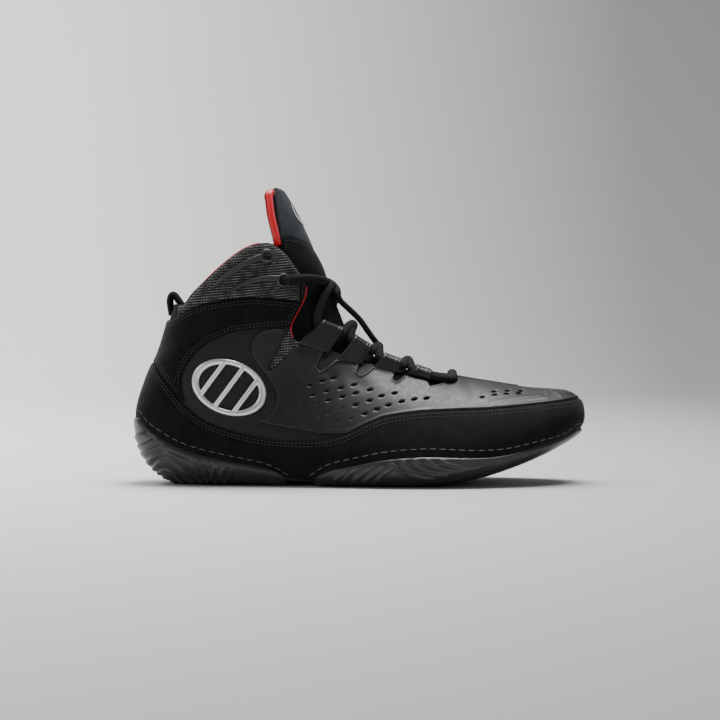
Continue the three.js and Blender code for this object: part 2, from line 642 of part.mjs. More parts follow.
for (const { name, body, material } of built) {
  const mesh = body.getMesh();
  const shape = new THREE.BufferGeometry();
  shape.setAttribute('position', new THREE.BufferAttribute(mesh.vertProperties, 3));
  shape.setIndex(new THREE.BufferAttribute(mesh.triVerts, 1));
  const node = new THREE.Mesh(shape, new THREE.MeshStandardMaterial(MATERIALS[material]));
  node.name = name;
  node.material.name = material;
  shoe.add(node);
}

export default shoe;
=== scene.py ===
# %% [markdown]
# # A wrestling shoe, seen from its outer side
# The frame holds the exact solids. This script lays the visible skins, seams and cords over
# them: each skin is cut out of the same last that shapes the solids, so every panel lies
# where it lies on the real shoe.

# %% Tools and the frame
import math
import bmesh
import bpy
import numpy as np
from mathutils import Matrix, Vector


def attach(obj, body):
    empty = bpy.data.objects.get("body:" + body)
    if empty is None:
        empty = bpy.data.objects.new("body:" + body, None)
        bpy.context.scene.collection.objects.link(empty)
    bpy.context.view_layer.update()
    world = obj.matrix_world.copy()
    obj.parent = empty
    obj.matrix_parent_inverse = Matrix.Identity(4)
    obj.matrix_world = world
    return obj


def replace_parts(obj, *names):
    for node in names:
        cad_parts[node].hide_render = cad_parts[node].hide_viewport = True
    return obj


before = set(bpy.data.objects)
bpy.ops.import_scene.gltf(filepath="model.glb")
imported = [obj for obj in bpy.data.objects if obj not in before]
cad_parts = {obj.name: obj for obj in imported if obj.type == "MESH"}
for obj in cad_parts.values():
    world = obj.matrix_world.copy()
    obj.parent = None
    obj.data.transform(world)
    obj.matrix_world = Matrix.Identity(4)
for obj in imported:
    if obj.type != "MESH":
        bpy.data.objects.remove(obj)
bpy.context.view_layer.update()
scene = bpy.context.scene
BODY = "root"

# %% [markdown]
# ## Sizes
# The shoe's own sizes, in metres. Layers are distances from the outer face of the upper.

# %% Sizes
LENGTH, HEIGHT, BALL, SOLE = 0.285, 0.186, 0.097, 0.0045
MM = 0.001
# Thickness of the wall, and faces of the vamp, the ankle panel and the rand
WALL, VAMP, PANEL, RAND = 2.2 * MM, 1.4 * MM, 1.6 * MM, 1.8 * MM
# Face of the rubber, and how far it hangs below the last
RUBBER, DROP = 3.0 * MM, 1.7 * MM
# Front and back face of the tongue, and the layer where its outline is cut
TONGUE_OUT, TONGUE_IN, TONGUE_AT = -2.65 * MM, -7.1 * MM, -4.5 * MM
LACE, STRAP = 4.6 * MM, 1.1 * MM
# Grid of a skin
CELL = 0.95 * MM

# Sections of the last, toe to ankle: base x, base z, top x, top z, centre, half, crown,
# flat, widest, ridge. x is a share of LENGTH, z of the height above SOLE, and centre, half
# and ridge of BALL.
LAST = np.array([
    [0.987, 0.175, 0.991, 0.251, 0.062, 0.134, 2.00, 2.2, 0.48, 0.000],
    [0.966, 0.152, 0.979, 0.275, 0.062, 0.216, 2.00, 2.5, 0.42, 0.010],
    [0.939, 0.129, 0.957, 0.291, 0.057, 0.289, 2.00, 2.8, 0.36, 0.020],
    [0.899, 0.098, 0.922, 0.296, 0.046, 0.356, 2.00, 3.0, 0.32, 0.030],
    [0.837, 0.060, 0.866, 0.303, 0.031, 0.423, 1.90, 3.2, 0.28, 0.040],
    [0.762, 0.024, 0.799, 0.319, 0.010, 0.474, 1.75, 3.4, 0.25, 0.050],
    [0.677, 0.001, 0.726, 0.338, -0.005, 0.500, 1.60, 3.5, 0.23, 0.055],
    [0.588, -0.004, 0.644, 0.368, -0.015, 0.490, 1.55, 3.5, 0.22, 0.055],
    [0.488, -0.006, 0.573, 0.404, -0.021, 0.443, 1.50, 3.4, 0.22, 0.050],
    [0.377, -0.006, 0.517, 0.450, -0.015, 0.397, 1.50, 3.2, 0.24, 0.045],
    [0.266, -0.002, 0.482, 0.509, -0.010, 0.371, 1.55, 3.0, 0.27, 0.035],
    [0.166, -0.001, 0.464, 0.572, 0.000, 0.356, 1.60, 2.8, 0.32, 0.025],
    [0.082, 0.017, 0.451, 0.624, 0.000, 0.345, 1.70, 2.6, 0.38, 0.015],
    [0.028, 0.090, 0.437, 0.673, 0.000, 0.345, 1.80, 2.5, 0.44, 0.010],
    [0.008, 0.212, 0.424, 0.726, 0.000, 0.340, 1.90, 2.5, 0.48, 0.000],
    [0.028, 0.335, 0.408, 0.781, 0.000, 0.335, 2.00, 2.5, 0.50, 0.000],
    [0.055, 0.429, 0.393, 0.841, 0.000, 0.340, 2.10, 2.4, 0.50, 0.000],
    [0.075, 0.530, 0.371, 0.918, 0.000, 0.350, 2.10, 2.3, 0.50, 0.000],
    [0.091, 0.614, 0.346, 0.987, 0.000, 0.361, 2.10, 2.3, 0.50, 0.000],
    [0.104, 0.691, 0.322, 1.050, 0.000, 0.361, 2.10, 2.3, 0.50, 0.000]])
TOE_TIP = (0.995, 0.209, 0.062)
TOP_ROW = len(LAST) - 1.0

# Outlines of the side view, as shares of LENGTH and of the height above SOLE
COLLAR_EDGE = [(0.098, 0.599), (0.116, 0.606), (0.133, 0.640), (0.159, 0.678), (0.185, 0.716),
    (0.211, 0.750), (0.238, 0.781), (0.264, 0.802), (0.290, 0.812), (0.314, 0.805), (0.342, 0.771),
    (0.360, 0.731), (0.371, 0.706), (0.382, 0.658), (0.375, 0.610), (0.355, 0.551), (0.348, 0.520),
    (0.351, 0.493)]
THROAT_EDGE = [(0.361, 0.471), (0.401, 0.456), (0.440, 0.438), (0.482, 0.414), (0.526, 0.392),
    (0.561, 0.375), (0.596, 0.359), (0.627, 0.345), (0.653, 0.337), (0.675, 0.335), (0.692, 0.340),
    (0.710, 0.352)]
VAMP_EDGE = [(0.361, 0.464), (0.388, 0.454), (0.423, 0.440), (0.414, 0.416), (0.407, 0.382),
    (0.413, 0.372), (0.425, 0.385), (0.447, 0.411), (0.469, 0.411), (0.495, 0.401), (0.499, 0.389),
    (0.495, 0.368), (0.503, 0.358), (0.515, 0.368), (0.529, 0.387), (0.550, 0.378), (0.572, 0.368),
    (0.578, 0.358), (0.574, 0.344), (0.580, 0.336), (0.589, 0.344), (0.600, 0.358), (0.622, 0.351),
    (0.644, 0.342), (0.651, 0.334), (0.655, 0.320), (0.670, 0.325), (0.692, 0.335), (0.710, 0.349)]
VAMP_REAR = [(0.417, 0.160), (0.369, 0.172), (0.325, 0.184), (0.277, 0.199), (0.290, 0.209),
    (0.312, 0.247), (0.317, 0.298), (0.299, 0.350), (0.277, 0.398), (0.264, 0.439), (0.266, 0.480),
    (0.286, 0.511), (0.317, 0.517), (0.340, 0.514), (0.323, 0.448), (0.301, 0.387), (0.305, 0.373),
    (0.336, 0.421)]
RAND_EDGE = [(0.045, 0.398), (0.063, 0.356), (0.081, 0.323), (0.098, 0.288), (0.113, 0.260),
    (0.132, 0.235), (0.148, 0.215), (0.165, 0.199), (0.185, 0.186), (0.212, 0.172),
    (0.245, 0.158), (0.285, 0.146), (0.333, 0.138), (0.385, 0.136), (0.433, 0.142),
    (0.472, 0.161), (0.510, 0.190), (0.549, 0.215), (0.588, 0.226), (0.632, 0.235),
    (0.704, 0.240), (0.783, 0.244), (0.863, 0.254), (0.903, 0.260), (0.943, 0.266),
    (0.972, 0.271)]
PANEL_TOP = [(0.083, 0.545), (0.104, 0.565), (0.135, 0.590), (0.174, 0.606), (0.222, 0.618),
    (0.270, 0.623), (0.318, 0.618), (0.350, 0.613), (0.371, 0.608)]
WINDOW_EDGE = [(0.340, 0.521), (0.318, 0.520), (0.286, 0.518), (0.254, 0.512), (0.222, 0.504),
    (0.190, 0.486), (0.165, 0.466), (0.142, 0.436), (0.126, 0.406), (0.112, 0.366), (0.109, 0.315),
    (0.117, 0.268)]
HEEL_UNIT = [(0.010, 0.206), (0.022, 0.182), (0.039, 0.160), (0.063, 0.136), (0.087, 0.115),
    (0.111, 0.099), (0.138, 0.085), (0.199, 0.062), (0.266, 0.042), (0.293, 0.031),
    (0.313, 0.018), (0.329, 0.001), (0.340, -0.010)]
FORE_UNIT = [(0.400, -0.007), (0.408, 0.007), (0.436, 0.033), (0.471, 0.047), (0.510, 0.061),
    (0.548, 0.073), (0.588, 0.081), (0.640, 0.086), (0.690, 0.084), (0.747, 0.080),
    (0.800, 0.082), (0.840, 0.090), (0.872, 0.101), (0.905, 0.112), (0.939, 0.124),
    (0.964, 0.140), (0.982, 0.160)]
TONGUE_EDGE = [(0.360, 0.927), (0.347, 0.962), (0.334, 0.983), (0.318, 0.997), (0.305, 1.000),
    (0.296, 0.991), (0.292, 0.976), (0.294, 0.960), (0.298, 0.908), (0.309, 0.833), (0.316, 0.788),
    (0.333, 0.747), (0.353, 0.702), (0.359, 0.616), (0.351, 0.530), (0.359, 0.461), (0.401, 0.389),
    (0.478, 0.338), (0.587, 0.293), (0.674, 0.283), (0.731, 0.300), (0.749, 0.324)]
TONGUE_SEAM = [(0.290, 0.800), (0.326, 0.829), (0.346, 0.828), (0.366, 0.816), (0.383, 0.795),
    (0.403, 0.764), (0.430, 0.720)]


def side(points):
    """Side view shares to metres, as an array of x and z."""
    p = np.asarray(points, float)
    return np.stack([(p[..., 0] - 0.5) * LENGTH, SOLE + p[..., 1] * (HEIGHT - SOLE)], -1)


def way_along(p):
    """Length of a path from its start to each of its points."""
    return np.concatenate([[0], np.cumsum(np.linalg.norm(np.diff(p, axis=0), axis=1))])


def spline(p, pieces=4):
    """Smooth curve through an array of points."""
    p = np.asarray(p, float)
    q = np.concatenate([2 * p[:1] - p[1:2], p, 2 * p[-1:] - p[-2:-1]])
    u = np.linspace(0, 1, pieces, endpoint=False)[:, None]
    runs = [0.5 * (2 * b + u * (c - a + u * (2 * a - 5 * b + 4 * c - d + u * (3 * (b - c) + d - a))))
            for a, b, c, d in zip(q, q[1:], q[2:], q[3:])]
    return np.concatenate(runs + [p[-1:]])


def curve(points, pieces=4):
    """Smooth curve through side view shares, in metres."""
    return spline(side(points), pieces)


# %% [markdown]
# ## Camera
# The photo looks straight at the outer side from about the shoe's own height, some 1.8 m away.

# %% Camera
EYE, EYE_HEIGHT, SPAN, AIM_Z = 1.8, math.radians(2.0), 0.456, 0.0779
camera = bpy.data.objects.new("camera", bpy.data.cameras.new("camera"))
scene.collection.objects.link(camera)
scene.camera = camera
aim = Vector((0, 0, AIM_Z))
camera.location = aim + EYE * Vector((0, -math.cos(EYE_HEIGHT), math.sin(EYE_HEIGHT)))
camera.rotation_euler = (aim - camera.location).to_track_quat("-Z", "Y").to_euler()
camera.data.lens = camera.data.sensor_width * EYE / SPAN
camera.data.clip_end = 20
print("lens", round(camera.data.lens, 1))

# %% [markdown]
# ## The last
# A shoe is sewn and pulled over a last. Here the last is a row of sections from the toe under
# the heel and up the ankle, each a rounded outline between a point of the sole line and a
# point of the ridge. A skin at any distance from it follows from its normal.


# %% The last
def section(t):
    """Values of a section between two rows of LAST."""
    t = np.asarray(t, float)
    k = np.clip(np.floor(t).astype(int), 0, len(LAST) - 2)
    u = (t - k)[..., None]
    a, b, c, d = (LAST[np.clip(k + i, 0, len(LAST) - 1)] for i in (-1, 0, 1, 2))
    return b + 0.5 * u * (c - a + u * (2 * a - 5 * b + 4 * c - d + u * (3 * (b - c) + d - a)))


def ring_point(t, a):
    """Place on a section. The angle is 0 on the ridge and rises towards the outer side."""
    bx, bz, tx, tz, centre, half, crown, flat, widest, ridge = np.moveaxis(section(t), -1, 0)
    up, across = np.cos(a), np.sin(a)
    power = np.where(up >= 0, crown, flat)
    r = (np.abs(up) ** power + np.abs(across) ** power) ** (-1 / power)
    level = widest + np.where(up >= 0, 1 - widest, widest) * r * up
    y = centre - half * r * across + ridge * level ** 2
    x, z = np.moveaxis(side(np.stack([bx + (tx - bx) * level, bz + (tz - bz) * level], -1)), -1, 0)
    return np.stack([x, y * BALL, z], -1)


def last_point(t, a):
    """Rows below 0 close the toe to its tip."""
    t, a = np.broadcast_arrays(np.asarray(t, float), np.asarray(a, float))
    p = ring_point(np.maximum(t, 0), a)
    left = np.clip(1 + t, 0, 1)[..., None]
    tip_x, tip_z = side(TOE_TIP[:2])
    tip = np.array([tip_x, TOE_TIP[2] * BALL, tip_z])
    shrink = np.concatenate([left ** 2, left, left], -1)
    return np.where((t < 0)[..., None], tip + (p - tip) * shrink, p)


def last_normal(t, a):
    """Outward direction of the last."""
    t, a = np.broadcast_arrays(np.asarray(t, float), np.asarray(a, float))
    t = np.maximum(t, -0.95)
    step = 0.02
    low, high = np.maximum(t - step, -0.97), np.minimum(t + step, TOP_ROW)
    along = last_point(high, a) - last_point(low, a)
    around = last_point(t, a + step) - last_point(t, a - step)
    n = np.cross(along, around)
    return n / np.linalg.norm(n, axis=-1, keepdims=True)


def skin(t, a, offset):
    """Place at a distance outside the last."""
    offset = np.asarray(offset, float)
    return last_point(t, a) + last_normal(t, a) * offset[..., None]


def locate(point, sign):
    """Row and angle of the last at a side view point of one side."""
    x, z = point
    best, t0, a0, span = None, TOP_ROW / 2, math.pi / 2, (TOP_ROW / 2, math.pi / 2)
    for _ in range(6):
        t, a = np.meshgrid(np.clip(np.linspace(t0 - span[0], t0 + span[0], 41), 0, TOP_ROW),
                           np.linspace(a0 - span[1], a0 + span[1], 41))
        p = last_point(t, sign * a)
        i = np.argmin((p[..., 0] - x) ** 2 + (p[..., 2] - z) ** 2)
        t0, a0 = t.flat[i], a.flat[i]
        span = (span[0] / 6, span[1] / 6)
    return t0, sign * a0


print("last", np.round(last_point(6.0, 0.0), 4))

# %% [markdown]
# ## Skins
# Each panel is a fine grid on the last, cut along its outline in the side view, lifted to the
# thickness of its material, with a rolled edge that drops to the layer under it.


# %% Skins
def gap_squared(start, end, x, z):
    """Squared distance to one straight piece of a line."""
    (ax, az), (ex, ez) = start, end - start
    u = np.clip(((x - ax) * ex + (z - az) * ez) / max(ex * ex + ez * ez, 1e-18), 0, 1)
    return (x - ax - u * ex) ** 2 + (z - az - u * ez) ** 2


def off_line(line, x, z):
    """Distance to an open line of the side view."""
    best = np.full(x.shape, np.inf)
    for start, end in zip(line, line[1:]):
        best = np.minimum(best, gap_squared(start, end, x, z))
    return np.sqrt(best)


def inside(outline, x, z):
    """Distance to a closed outline of the side view, positive inside it."""
    odd = np.zeros(x.shape, bool)
    for (ax, az), (bx, bz) in zip(outline, np.roll(outline, -1, 0)):
        if az != bz:
            odd ^= ((az > z) != (bz > z)) & (x < ax + (bx - ax) * (z - az) / (bz - az))
    return np.where(odd, 1, -1) * off_line(np.concatenate([outline, outline[:1]]), x, z)


FAR = 2.0


def above(line):
    """Closed outline of everything above a line that runs to the toe."""
    return np.concatenate([line, [(line[-1][0], FAR), (-FAR, FAR), (-FAR, line[0][1])]])


def below(line):
    """Closed outline of everything under a line that runs to the toe."""
    return np.concatenate([line, [(FAR, line[-1][1]), (FAR, -FAR), (-FAR, -FAR),
                                  (-FAR, line[0][1])]])


# %% [markdown]
# ### Grid and cut
# Cloth and leather are cut along a pattern. A fine even grid of the last is cut where the
# distance to the outline is 0, so that the edge is smooth and not stepped.


# %% Grid and cut
def grid(t_range, a_range, cell=CELL):
    """Rows, angles, places and the length round the section of an even grid on the last."""
    t = np.linspace(*t_range, 400)
    probe = last_point(t[:, None], np.linspace(-math.pi, math.pi, 13)[None])
    run = np.linalg.norm(np.diff(probe, axis=0), axis=-1).max(1)
    way = np.concatenate([[0], np.cumsum(run)])
    rows = np.interp(np.linspace(0, way[-1], int(way[-1] / cell) + 1), way, t)
    turns = int(0.26 / cell * (a_range[1] - a_range[0]) / (2 * math.pi)) + 1
    T, A = np.meshgrid(rows, np.linspace(*a_range, turns), indexing="ij")
    P = last_point(T, A)
    gap = np.linalg.norm(np.diff(P, axis=1), axis=-1)
    U = np.concatenate([np.zeros((len(rows), 1)), np.cumsum(gap, 1)], 1)
    zero = np.argmin(np.abs(A[0]))
    return T, A, P, U - U[:, zero:zero + 1]


def cut(T, A, U, d):
    """Grid triangles where d is positive, cut along d = 0. Returns T, A, U, d of the points,
    triangles and cut edges."""
    n, m = T.shape
    k = (np.arange(n - 1)[:, None] * m + np.arange(m - 1)[None]).ravel()
    quads = np.stack([k, k + m, k + m + 1, k + 1], 1)
    tris = np.concatenate([quads[:, [0, 1, 2]], quads[:, [0, 2, 3]]])
    v = np.stack([T.ravel(), A.ravel(), U.ravel(), d.ravel()], 1)
    pos = v[tris, 3] > 0
    count = pos.sum(1)
    whole = tris[count == 3]
    one = tris[count == 1]
    one = np.take_along_axis(one, (np.argmax(pos[count == 1], 1)[:, None] + np.arange(3)) % 3, 1)
    two = tris[count == 2]
    two = np.take_along_axis(two, (np.argmin(pos[count == 2], 1)[:, None] + np.arange(3)) % 3, 1)
    sides = np.concatenate([one[:, [0, 1]], one[:, [2, 0]], two[:, [0, 1]], two[:, [2, 0]]])
    key = np.sort(sides, 1)
    key, back = np.unique(key[:, 0] * (n * m) + key[:, 1], return_inverse=True)
    i, j = key // (n * m), key % (n * m)
    w = (v[i, 3] / (v[i, 3] - v[j, 3]))[:, None]
    new = v[i] + (v[j] - v[i]) * w
    s1, u1, s2, u2 = np.split(back.ravel() + n * m, np.cumsum([len(one), len(one), len(two)]))
    faces = np.concatenate([whole, np.stack([one[:, 0], s1, u1], 1),
                            np.stack([s2, two[:, 1], two[:, 2]], 1),
                            np.stack([s2, two[:, 2], u2], 1)])
    edges = np.concatenate([np.stack([s1, u1], 1), np.stack([u2, s2], 1)])
    v = np.concatenate([v, new])
    used, faces = np.unique(faces, return_inverse=True)
    lookup = np.full(len(v), -1)
    lookup[used] = np.arange(len(used))
    return v[used].T, faces.reshape(-1, 3), lookup[edges]


print("grid cell", CELL)

# %% [markdown]
# ### Panels and their edges
# A cut panel gets the thickness of its material and an edge that rolls down to the layer under
# it. The lines along its edge serve later for piping and seams.


# %% Panels and their edges
def mesh_object(name, places, faces, material, uv):
    """A smooth piece of the shoe. uv is the place of its points on the surface."""
    mesh = bpy.data.meshes.new(name)
    faces = np.asarray(faces)
    mesh.from_pydata(np.asarray(places).tolist(), [], faces.tolist())
    mesh.polygons.foreach_set("use_smooth", np.ones(len(mesh.polygons), bool))
    layer = mesh.uv_layers.new(name="wrap")
    corner = np.empty(len(mesh.loops), int)
    mesh.loops.foreach_get("vertex_index", corner)
    layer.data.foreach_set("uv", np.asarray(uv)[corner].ravel())
    mesh.materials.append(material)
    mesh.update()
    obj = bpy.data.objects.new(name, mesh)
    scene.collection.objects.link(obj)
    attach(obj, BODY)
    return obj


def rolled(d, low, high, roll=1.3 * MM):
    """Height of a panel with a rolled edge, at a distance from the edge."""
    u = 1 - np.clip(d / roll, 0, 1)
    return low + (high - low) * (0.35 + 0.65 * np.sqrt(np.clip(1 - u * u, 0, 1)))


def panel(name, field, height, material, t_range=(-0.97, TOP_ROW), a_range=(-math.pi, math.pi),
          drop=0.0, foot=None, cell=CELL, flip=False, place=None, at=0.0):
    """A skin of the last. field gives the distance inside the outline at the offset at, and
    height the offset of the skin."""
    T, A, P, U = grid(t_range, a_range, cell)
    P = P + last_normal(T, A) * at
    (T, A, U, d), faces, edges = cut(T, A, U, field(P[..., 0], P[..., 2], P[..., 1], T, A))
    P, N = last_point(T, A), last_normal(T, A)
    Q = P + N * at
    h = height(d, Q[:, 0], Q[:, 2], Q[:, 1], T, A)
    places = P + N * h[:, None]
    places[:, 2] -= drop
    if place:
        places = place(places)
    uv = np.stack([U, P[:, 2]], 1)
    if foot is not None and len(edges):
        rim = np.unique(edges)
        low = P[rim] + N[rim] * foot
        lookup = np.full(len(P), -1)
        lookup[rim] = np.arange(len(rim)) + len(P)
        s, u = edges.T
        faces = np.concatenate([faces, np.stack([u, s, lookup[s]], 1),
                                np.stack([u, lookup[s], lookup[u]], 1)])
        places = np.concatenate([places, low])
        uv = np.concatenate([uv, uv[rim]])
    if flip:
        faces = faces[:, ::-1]
    obj = mesh_object(name, places, faces[:, ::-1], material, uv)
    print(name, len(faces), "triangles")
    return obj


def contours(field, t_range, a_range, at=0.0, cell=1.4 * MM):
    """Lines of the last where the field is 0, as lists of rows and angles."""
    T, A, P, U = grid(t_range, a_range, cell)
    P = P + last_normal(T, A) * at
    (T, A, U, d), faces, edges = cut(T, A, U, field(P[..., 0], P[..., 2], P[..., 1], T, A))
    nexts = {}
    for s, u in edges.tolist():
        nexts.setdefault(s, []).append(u)
        nexts.setdefault(u, []).append(s)
    lines, seen = [], set()
    ends = [k for k, v in nexts.items() if len(v) == 1] + list(nexts)
    for start in ends:
        if start in seen:
            continue
        line = [start]
        seen.add(start)
        while True:
            ahead = [k for k in nexts[line[-1]] if k not in seen]
            if not ahead:
                break
            seen.add(ahead[0])
            line.append(ahead[0])
        if len(line) > 5:
            lines.append(np.stack([T[line], A[line]], 1))
    return lines


print("edge of a panel 2 mm thick", rolled(np.array([0, 0.5, 1.0, 1.5]) * MM, 0.0, 2 * MM))

# %% [markdown]
# ## Outlines of the panels
# The panels of a shoe are cut flat from patterns. Each pattern here is a closed outline of the
# side view, and each field says how far a place lies inside its panel.

# %% Outlines in metres
mouth_line = spline(np.concatenate([side(COLLAR_EDGE), side(THROAT_EDGE)]), 3)
MOUTH = above(mouth_line)
RAND_LINE = below(curve(RAND_EDGE, 3))
rand_top = side(RAND_EDGE)
vamp_edge, vamp_rear = side(VAMP_EDGE), side(VAMP_REAR)
# The rand closes the vamp from the toe back to this row of its edge; the rear edge turns
# sharply at its corner
RAND_ROW, CORNER = 14, 13
VAMP_LINE = np.concatenate([
    vamp_edge, [(vamp_edge[-1][0], FAR), (FAR, FAR), (FAR, rand_top[-1][1])], rand_top[:RAND_ROW:-1],
    spline(vamp_rear[:CORNER + 1], 3), spline(vamp_rear[CORNER:], 2)])
panel_top, window = curve(PANEL_TOP), curve(WINDOW_EDGE)
PANEL_LINE = np.concatenate([panel_top, [(FAR, panel_top[-1][1]), (FAR, window[0][1])], window,
                             [(-FAR, -FAR), (-FAR, panel_top[0][1])]])
COLLAR_LINE, SEAM_LINE = above(panel_top), above(curve(TONGUE_SEAM, 3))
tongue_edge = curve(TONGUE_EDGE, 3)
TONGUE_LINE = np.concatenate([tongue_edge, [(FAR, tongue_edge[-1][1]), (FAR, tongue_edge[0][1])]])
heel_top, fore_top = curve(HEEL_UNIT, 3), curve(FORE_UNIT, 3)
HEEL_LINE = np.concatenate([heel_top, [(heel_top[-1][0], -FAR), (-FAR, -FAR),
                                       (-FAR, heel_top[0][1])]])
FORE_LINE = np.concatenate([fore_top, [(FAR, fore_top[-1][1]), (FAR, -FAR),
                                       (fore_top[0][0], -FAR)]])


def wall_field(x, z, y, T, A):
    return -inside(MOUTH, x, z)


def rand_field(x, z, y, T, A):
    return inside(RAND_LINE, x, z)


def panel_field(x, z, y, T, A):
    return np.minimum(np.minimum(inside(PANEL_LINE, x, z), -inside(MOUTH, x, z)),
                      -inside(RAND_LINE, x, z) - 0.1 * MM)


def collar_field(x, z, y, T, A):
    return np.minimum(inside(COLLAR_LINE, x, z), -inside(MOUTH, x, z))


def tongue_field(x, z, y, T, A):
    return inside(TONGUE_LINE, x, z)


# %% [markdown]
# ## Finishes
# Every finish is built from noise and waves at the real size of the grain, nap, mesh or braid.


# %% Finishes
def rgb(code):
    """sRGB hex to linear colour."""
    c = [int(code[i:i + 2], 16) / 255 for i in (1, 3, 5)]
    return (*[v / 12.92 if v <= 0.04045 else ((v + 0.055) / 1.055) ** 2.4 for v in c], 1)


def node(tree, kind, inputs=None, **settings):
    """Add a node. Inputs are values, or sockets to link."""
    n = tree.nodes.new(kind)
    for name, value in settings.items():
        setattr(n, name, value)
    for name, value in (inputs or {}).items():
        if isinstance(value, bpy.types.NodeSocket):
            tree.links.new(value, n.inputs[name])
        else:
            n.inputs[name].default_value = value
    return n


def finish(name, colour, roughness, **sockets):
    """A material with its main shader, and the tree to add to."""
    material = bpy.data.materials.new(name)
    material.use_nodes = True
    tree = material.node_tree
    shader = tree.nodes["Principled BSDF"]
    shader.inputs["Base Color"].default_value = rgb(colour)
    shader.inputs["Roughness"].default_value = roughness
    for key, value in sockets.items():
        shader.inputs[key.replace("_", " ")].default_value = value
    return material, tree, shader


def place_mm(tree):
    """Object coordinates in mm."""
    at = node(tree, "ShaderNodeTexCoord")
    move = node(tree, "ShaderNodeMapping", {"Vector": at.outputs["Object"], "Scale": [1 / MM] * 3})
    return move.outputs["Vector"]


def wrap(tree, pitch_u, per_v):
    """Place along and across the surface, counted in repeats of a weave."""
    uv = node(tree, "ShaderNodeUVMap", uv_map="wrap").outputs["UV"]
    split = node(tree, "ShaderNodeSeparateXYZ", {"Vector": uv})
    return (maths(tree, "MULTIPLY", split.outputs["X"], 1000.0 / pitch_u),
            maths(tree, "MULTIPLY", split.outputs["Y"], per_v))


def noise(tree, vector, size, detail=3.0, rough=0.55):
    """Soft patches of a size in mm."""
    return node(tree, "ShaderNodeTexNoise", {"Vector": vector, "Scale": 1 / size, "Detail": detail,
                "Roughness": rough}).outputs["Fac"]


def mapped(tree, value, a, b, c, d):
    """The range a to b carried to c to d."""
    return node(tree, "ShaderNodeMapRange", {"Value": value, "From Min": a, "From Max": b,
                "To Min": c, "To Max": d}).outputs["Result"]


def maths(tree, kind, a, b=0.0):
    return node(tree, "ShaderNodeMath", {0: a, 1: b}, operation=kind).outputs[0]


def tone(tree, value, low, high):
    mix = node(tree, "ShaderNodeMix", {0: value, 6: rgb(low), 7: rgb(high)}, data_type="RGBA")
    return mix.outputs[2]


def bump(tree, shader, height, depth, strength=1.0):
    n = node(tree, "ShaderNodeBump", {"Height": height, "Distance": depth, "Strength": strength})
    tree.links.new(n.outputs["Normal"], shader.inputs["Normal"])


def link(tree, socket, shader, name):
    tree.links.new(socket, shader.inputs[name])


print("tools for the finishes")

# %% [markdown]
# ### Recipes
# Each recipe builds one kind of material: napped, smooth, knitted, moulded, plain or braided.


# %% Recipes
def suede(name, dark, light):
    """Short nap: no shine, and brushed patches where the fibres lie another way."""
    material, tree, shader = finish(name, dark, 0.95)
    shader.inputs["Specular IOR Level"].default_value = 0.15
    shader.inputs["Sheen Weight"].default_value = 0.05
    shader.inputs["Sheen Roughness"].default_value = 0.45
    v = place_mm(tree)
    nap = noise(tree, v, 0.35, 2.0, 0.6)
    brushed = noise(tree, v, 9.0, 3.0, 0.6)
    both = maths(tree, "MULTIPLY", nap, mapped(tree, brushed, 0.3, 0.7, 0.6, 1.3))
    link(tree, tone(tree, mapped(tree, both, 0.2, 0.8, 0.0, 1.0), dark, light), shader, "Base Color")
    bump(tree, shader, nap, 0.12 * MM, 0.8)
    return material


def smooth_leather(name, dark, light, roughness):
    """Finished leather: a soft sheen over fine grain, broken by patches of wear."""
    material, tree, shader = finish(name, dark, roughness, Coat_Weight=0.05, Coat_Roughness=0.35,
                                    Specular_IOR_Level=0.36)
    v = place_mm(tree)
    cells = node(tree, "ShaderNodeTexVoronoi", {"Vector": v, "Scale": 1.4, "Randomness": 1.0},
                 feature="DISTANCE_TO_EDGE").outputs["Distance"]
    grain = mapped(tree, cells, 0.0, 0.25, 0.0, 1.0)
    wide = noise(tree, v, 14.0, 3.0)
    link(tree, tone(tree, mapped(tree, wide, 0.3, 0.7, 0.0, 1.0), dark, light), shader, "Base Color")
    worn = mapped(tree, noise(tree, v, 3.0, 4.0), 0.3, 0.7, roughness - 0.05, roughness + 0.08)
    link(tree, worn, shader, "Roughness")
    relief = maths(tree, "ADD", maths(tree, "MULTIPLY", grain, 0.25), wide)
    bump(tree, shader, relief, 0.05 * MM, 0.5)
    return material


def mesh_cloth(name):
    """Open knit: dark cells with short light yarns in rows."""
    material, tree, shader = finish(name, "#121214", 0.85)
    u, v = wrap(tree, 1.8, 1000.0 / 1.55)
    v = maths(tree, "ADD", v, maths(tree, "MULTIPLY", u, 0.1))
    row = maths(tree, "FLOOR", v)
    shifted = maths(tree, "ADD", u, maths(tree, "MULTIPLY", row, 0.5))
    du = maths(tree, "ABSOLUTE", maths(tree, "SUBTRACT", maths(tree, "FRACT", shifted), 0.5))
    dv = maths(tree, "ABSOLUTE", maths(tree, "SUBTRACT", maths(tree, "FRACT", v), 0.5))
    long_part = mapped(tree, du, 0.30, 0.42, 1.0, 0.0)
    thin_part = mapped(tree, dv, 0.10, 0.24, 1.0, 0.0)
    yarn = maths(tree, "MULTIPLY", long_part, thin_part)
    wear = mapped(tree, noise(tree, place_mm(tree), 5.0, 2.0), 0.35, 0.62, 0.2, 1.0)
    colour = tone(tree, maths(tree, "MULTIPLY", yarn, wear), "#070708", "#868685")
    link(tree, colour, shader, "Base Color")
    bump(tree, shader, yarn, 0.35 * MM, 0.9)
    return material


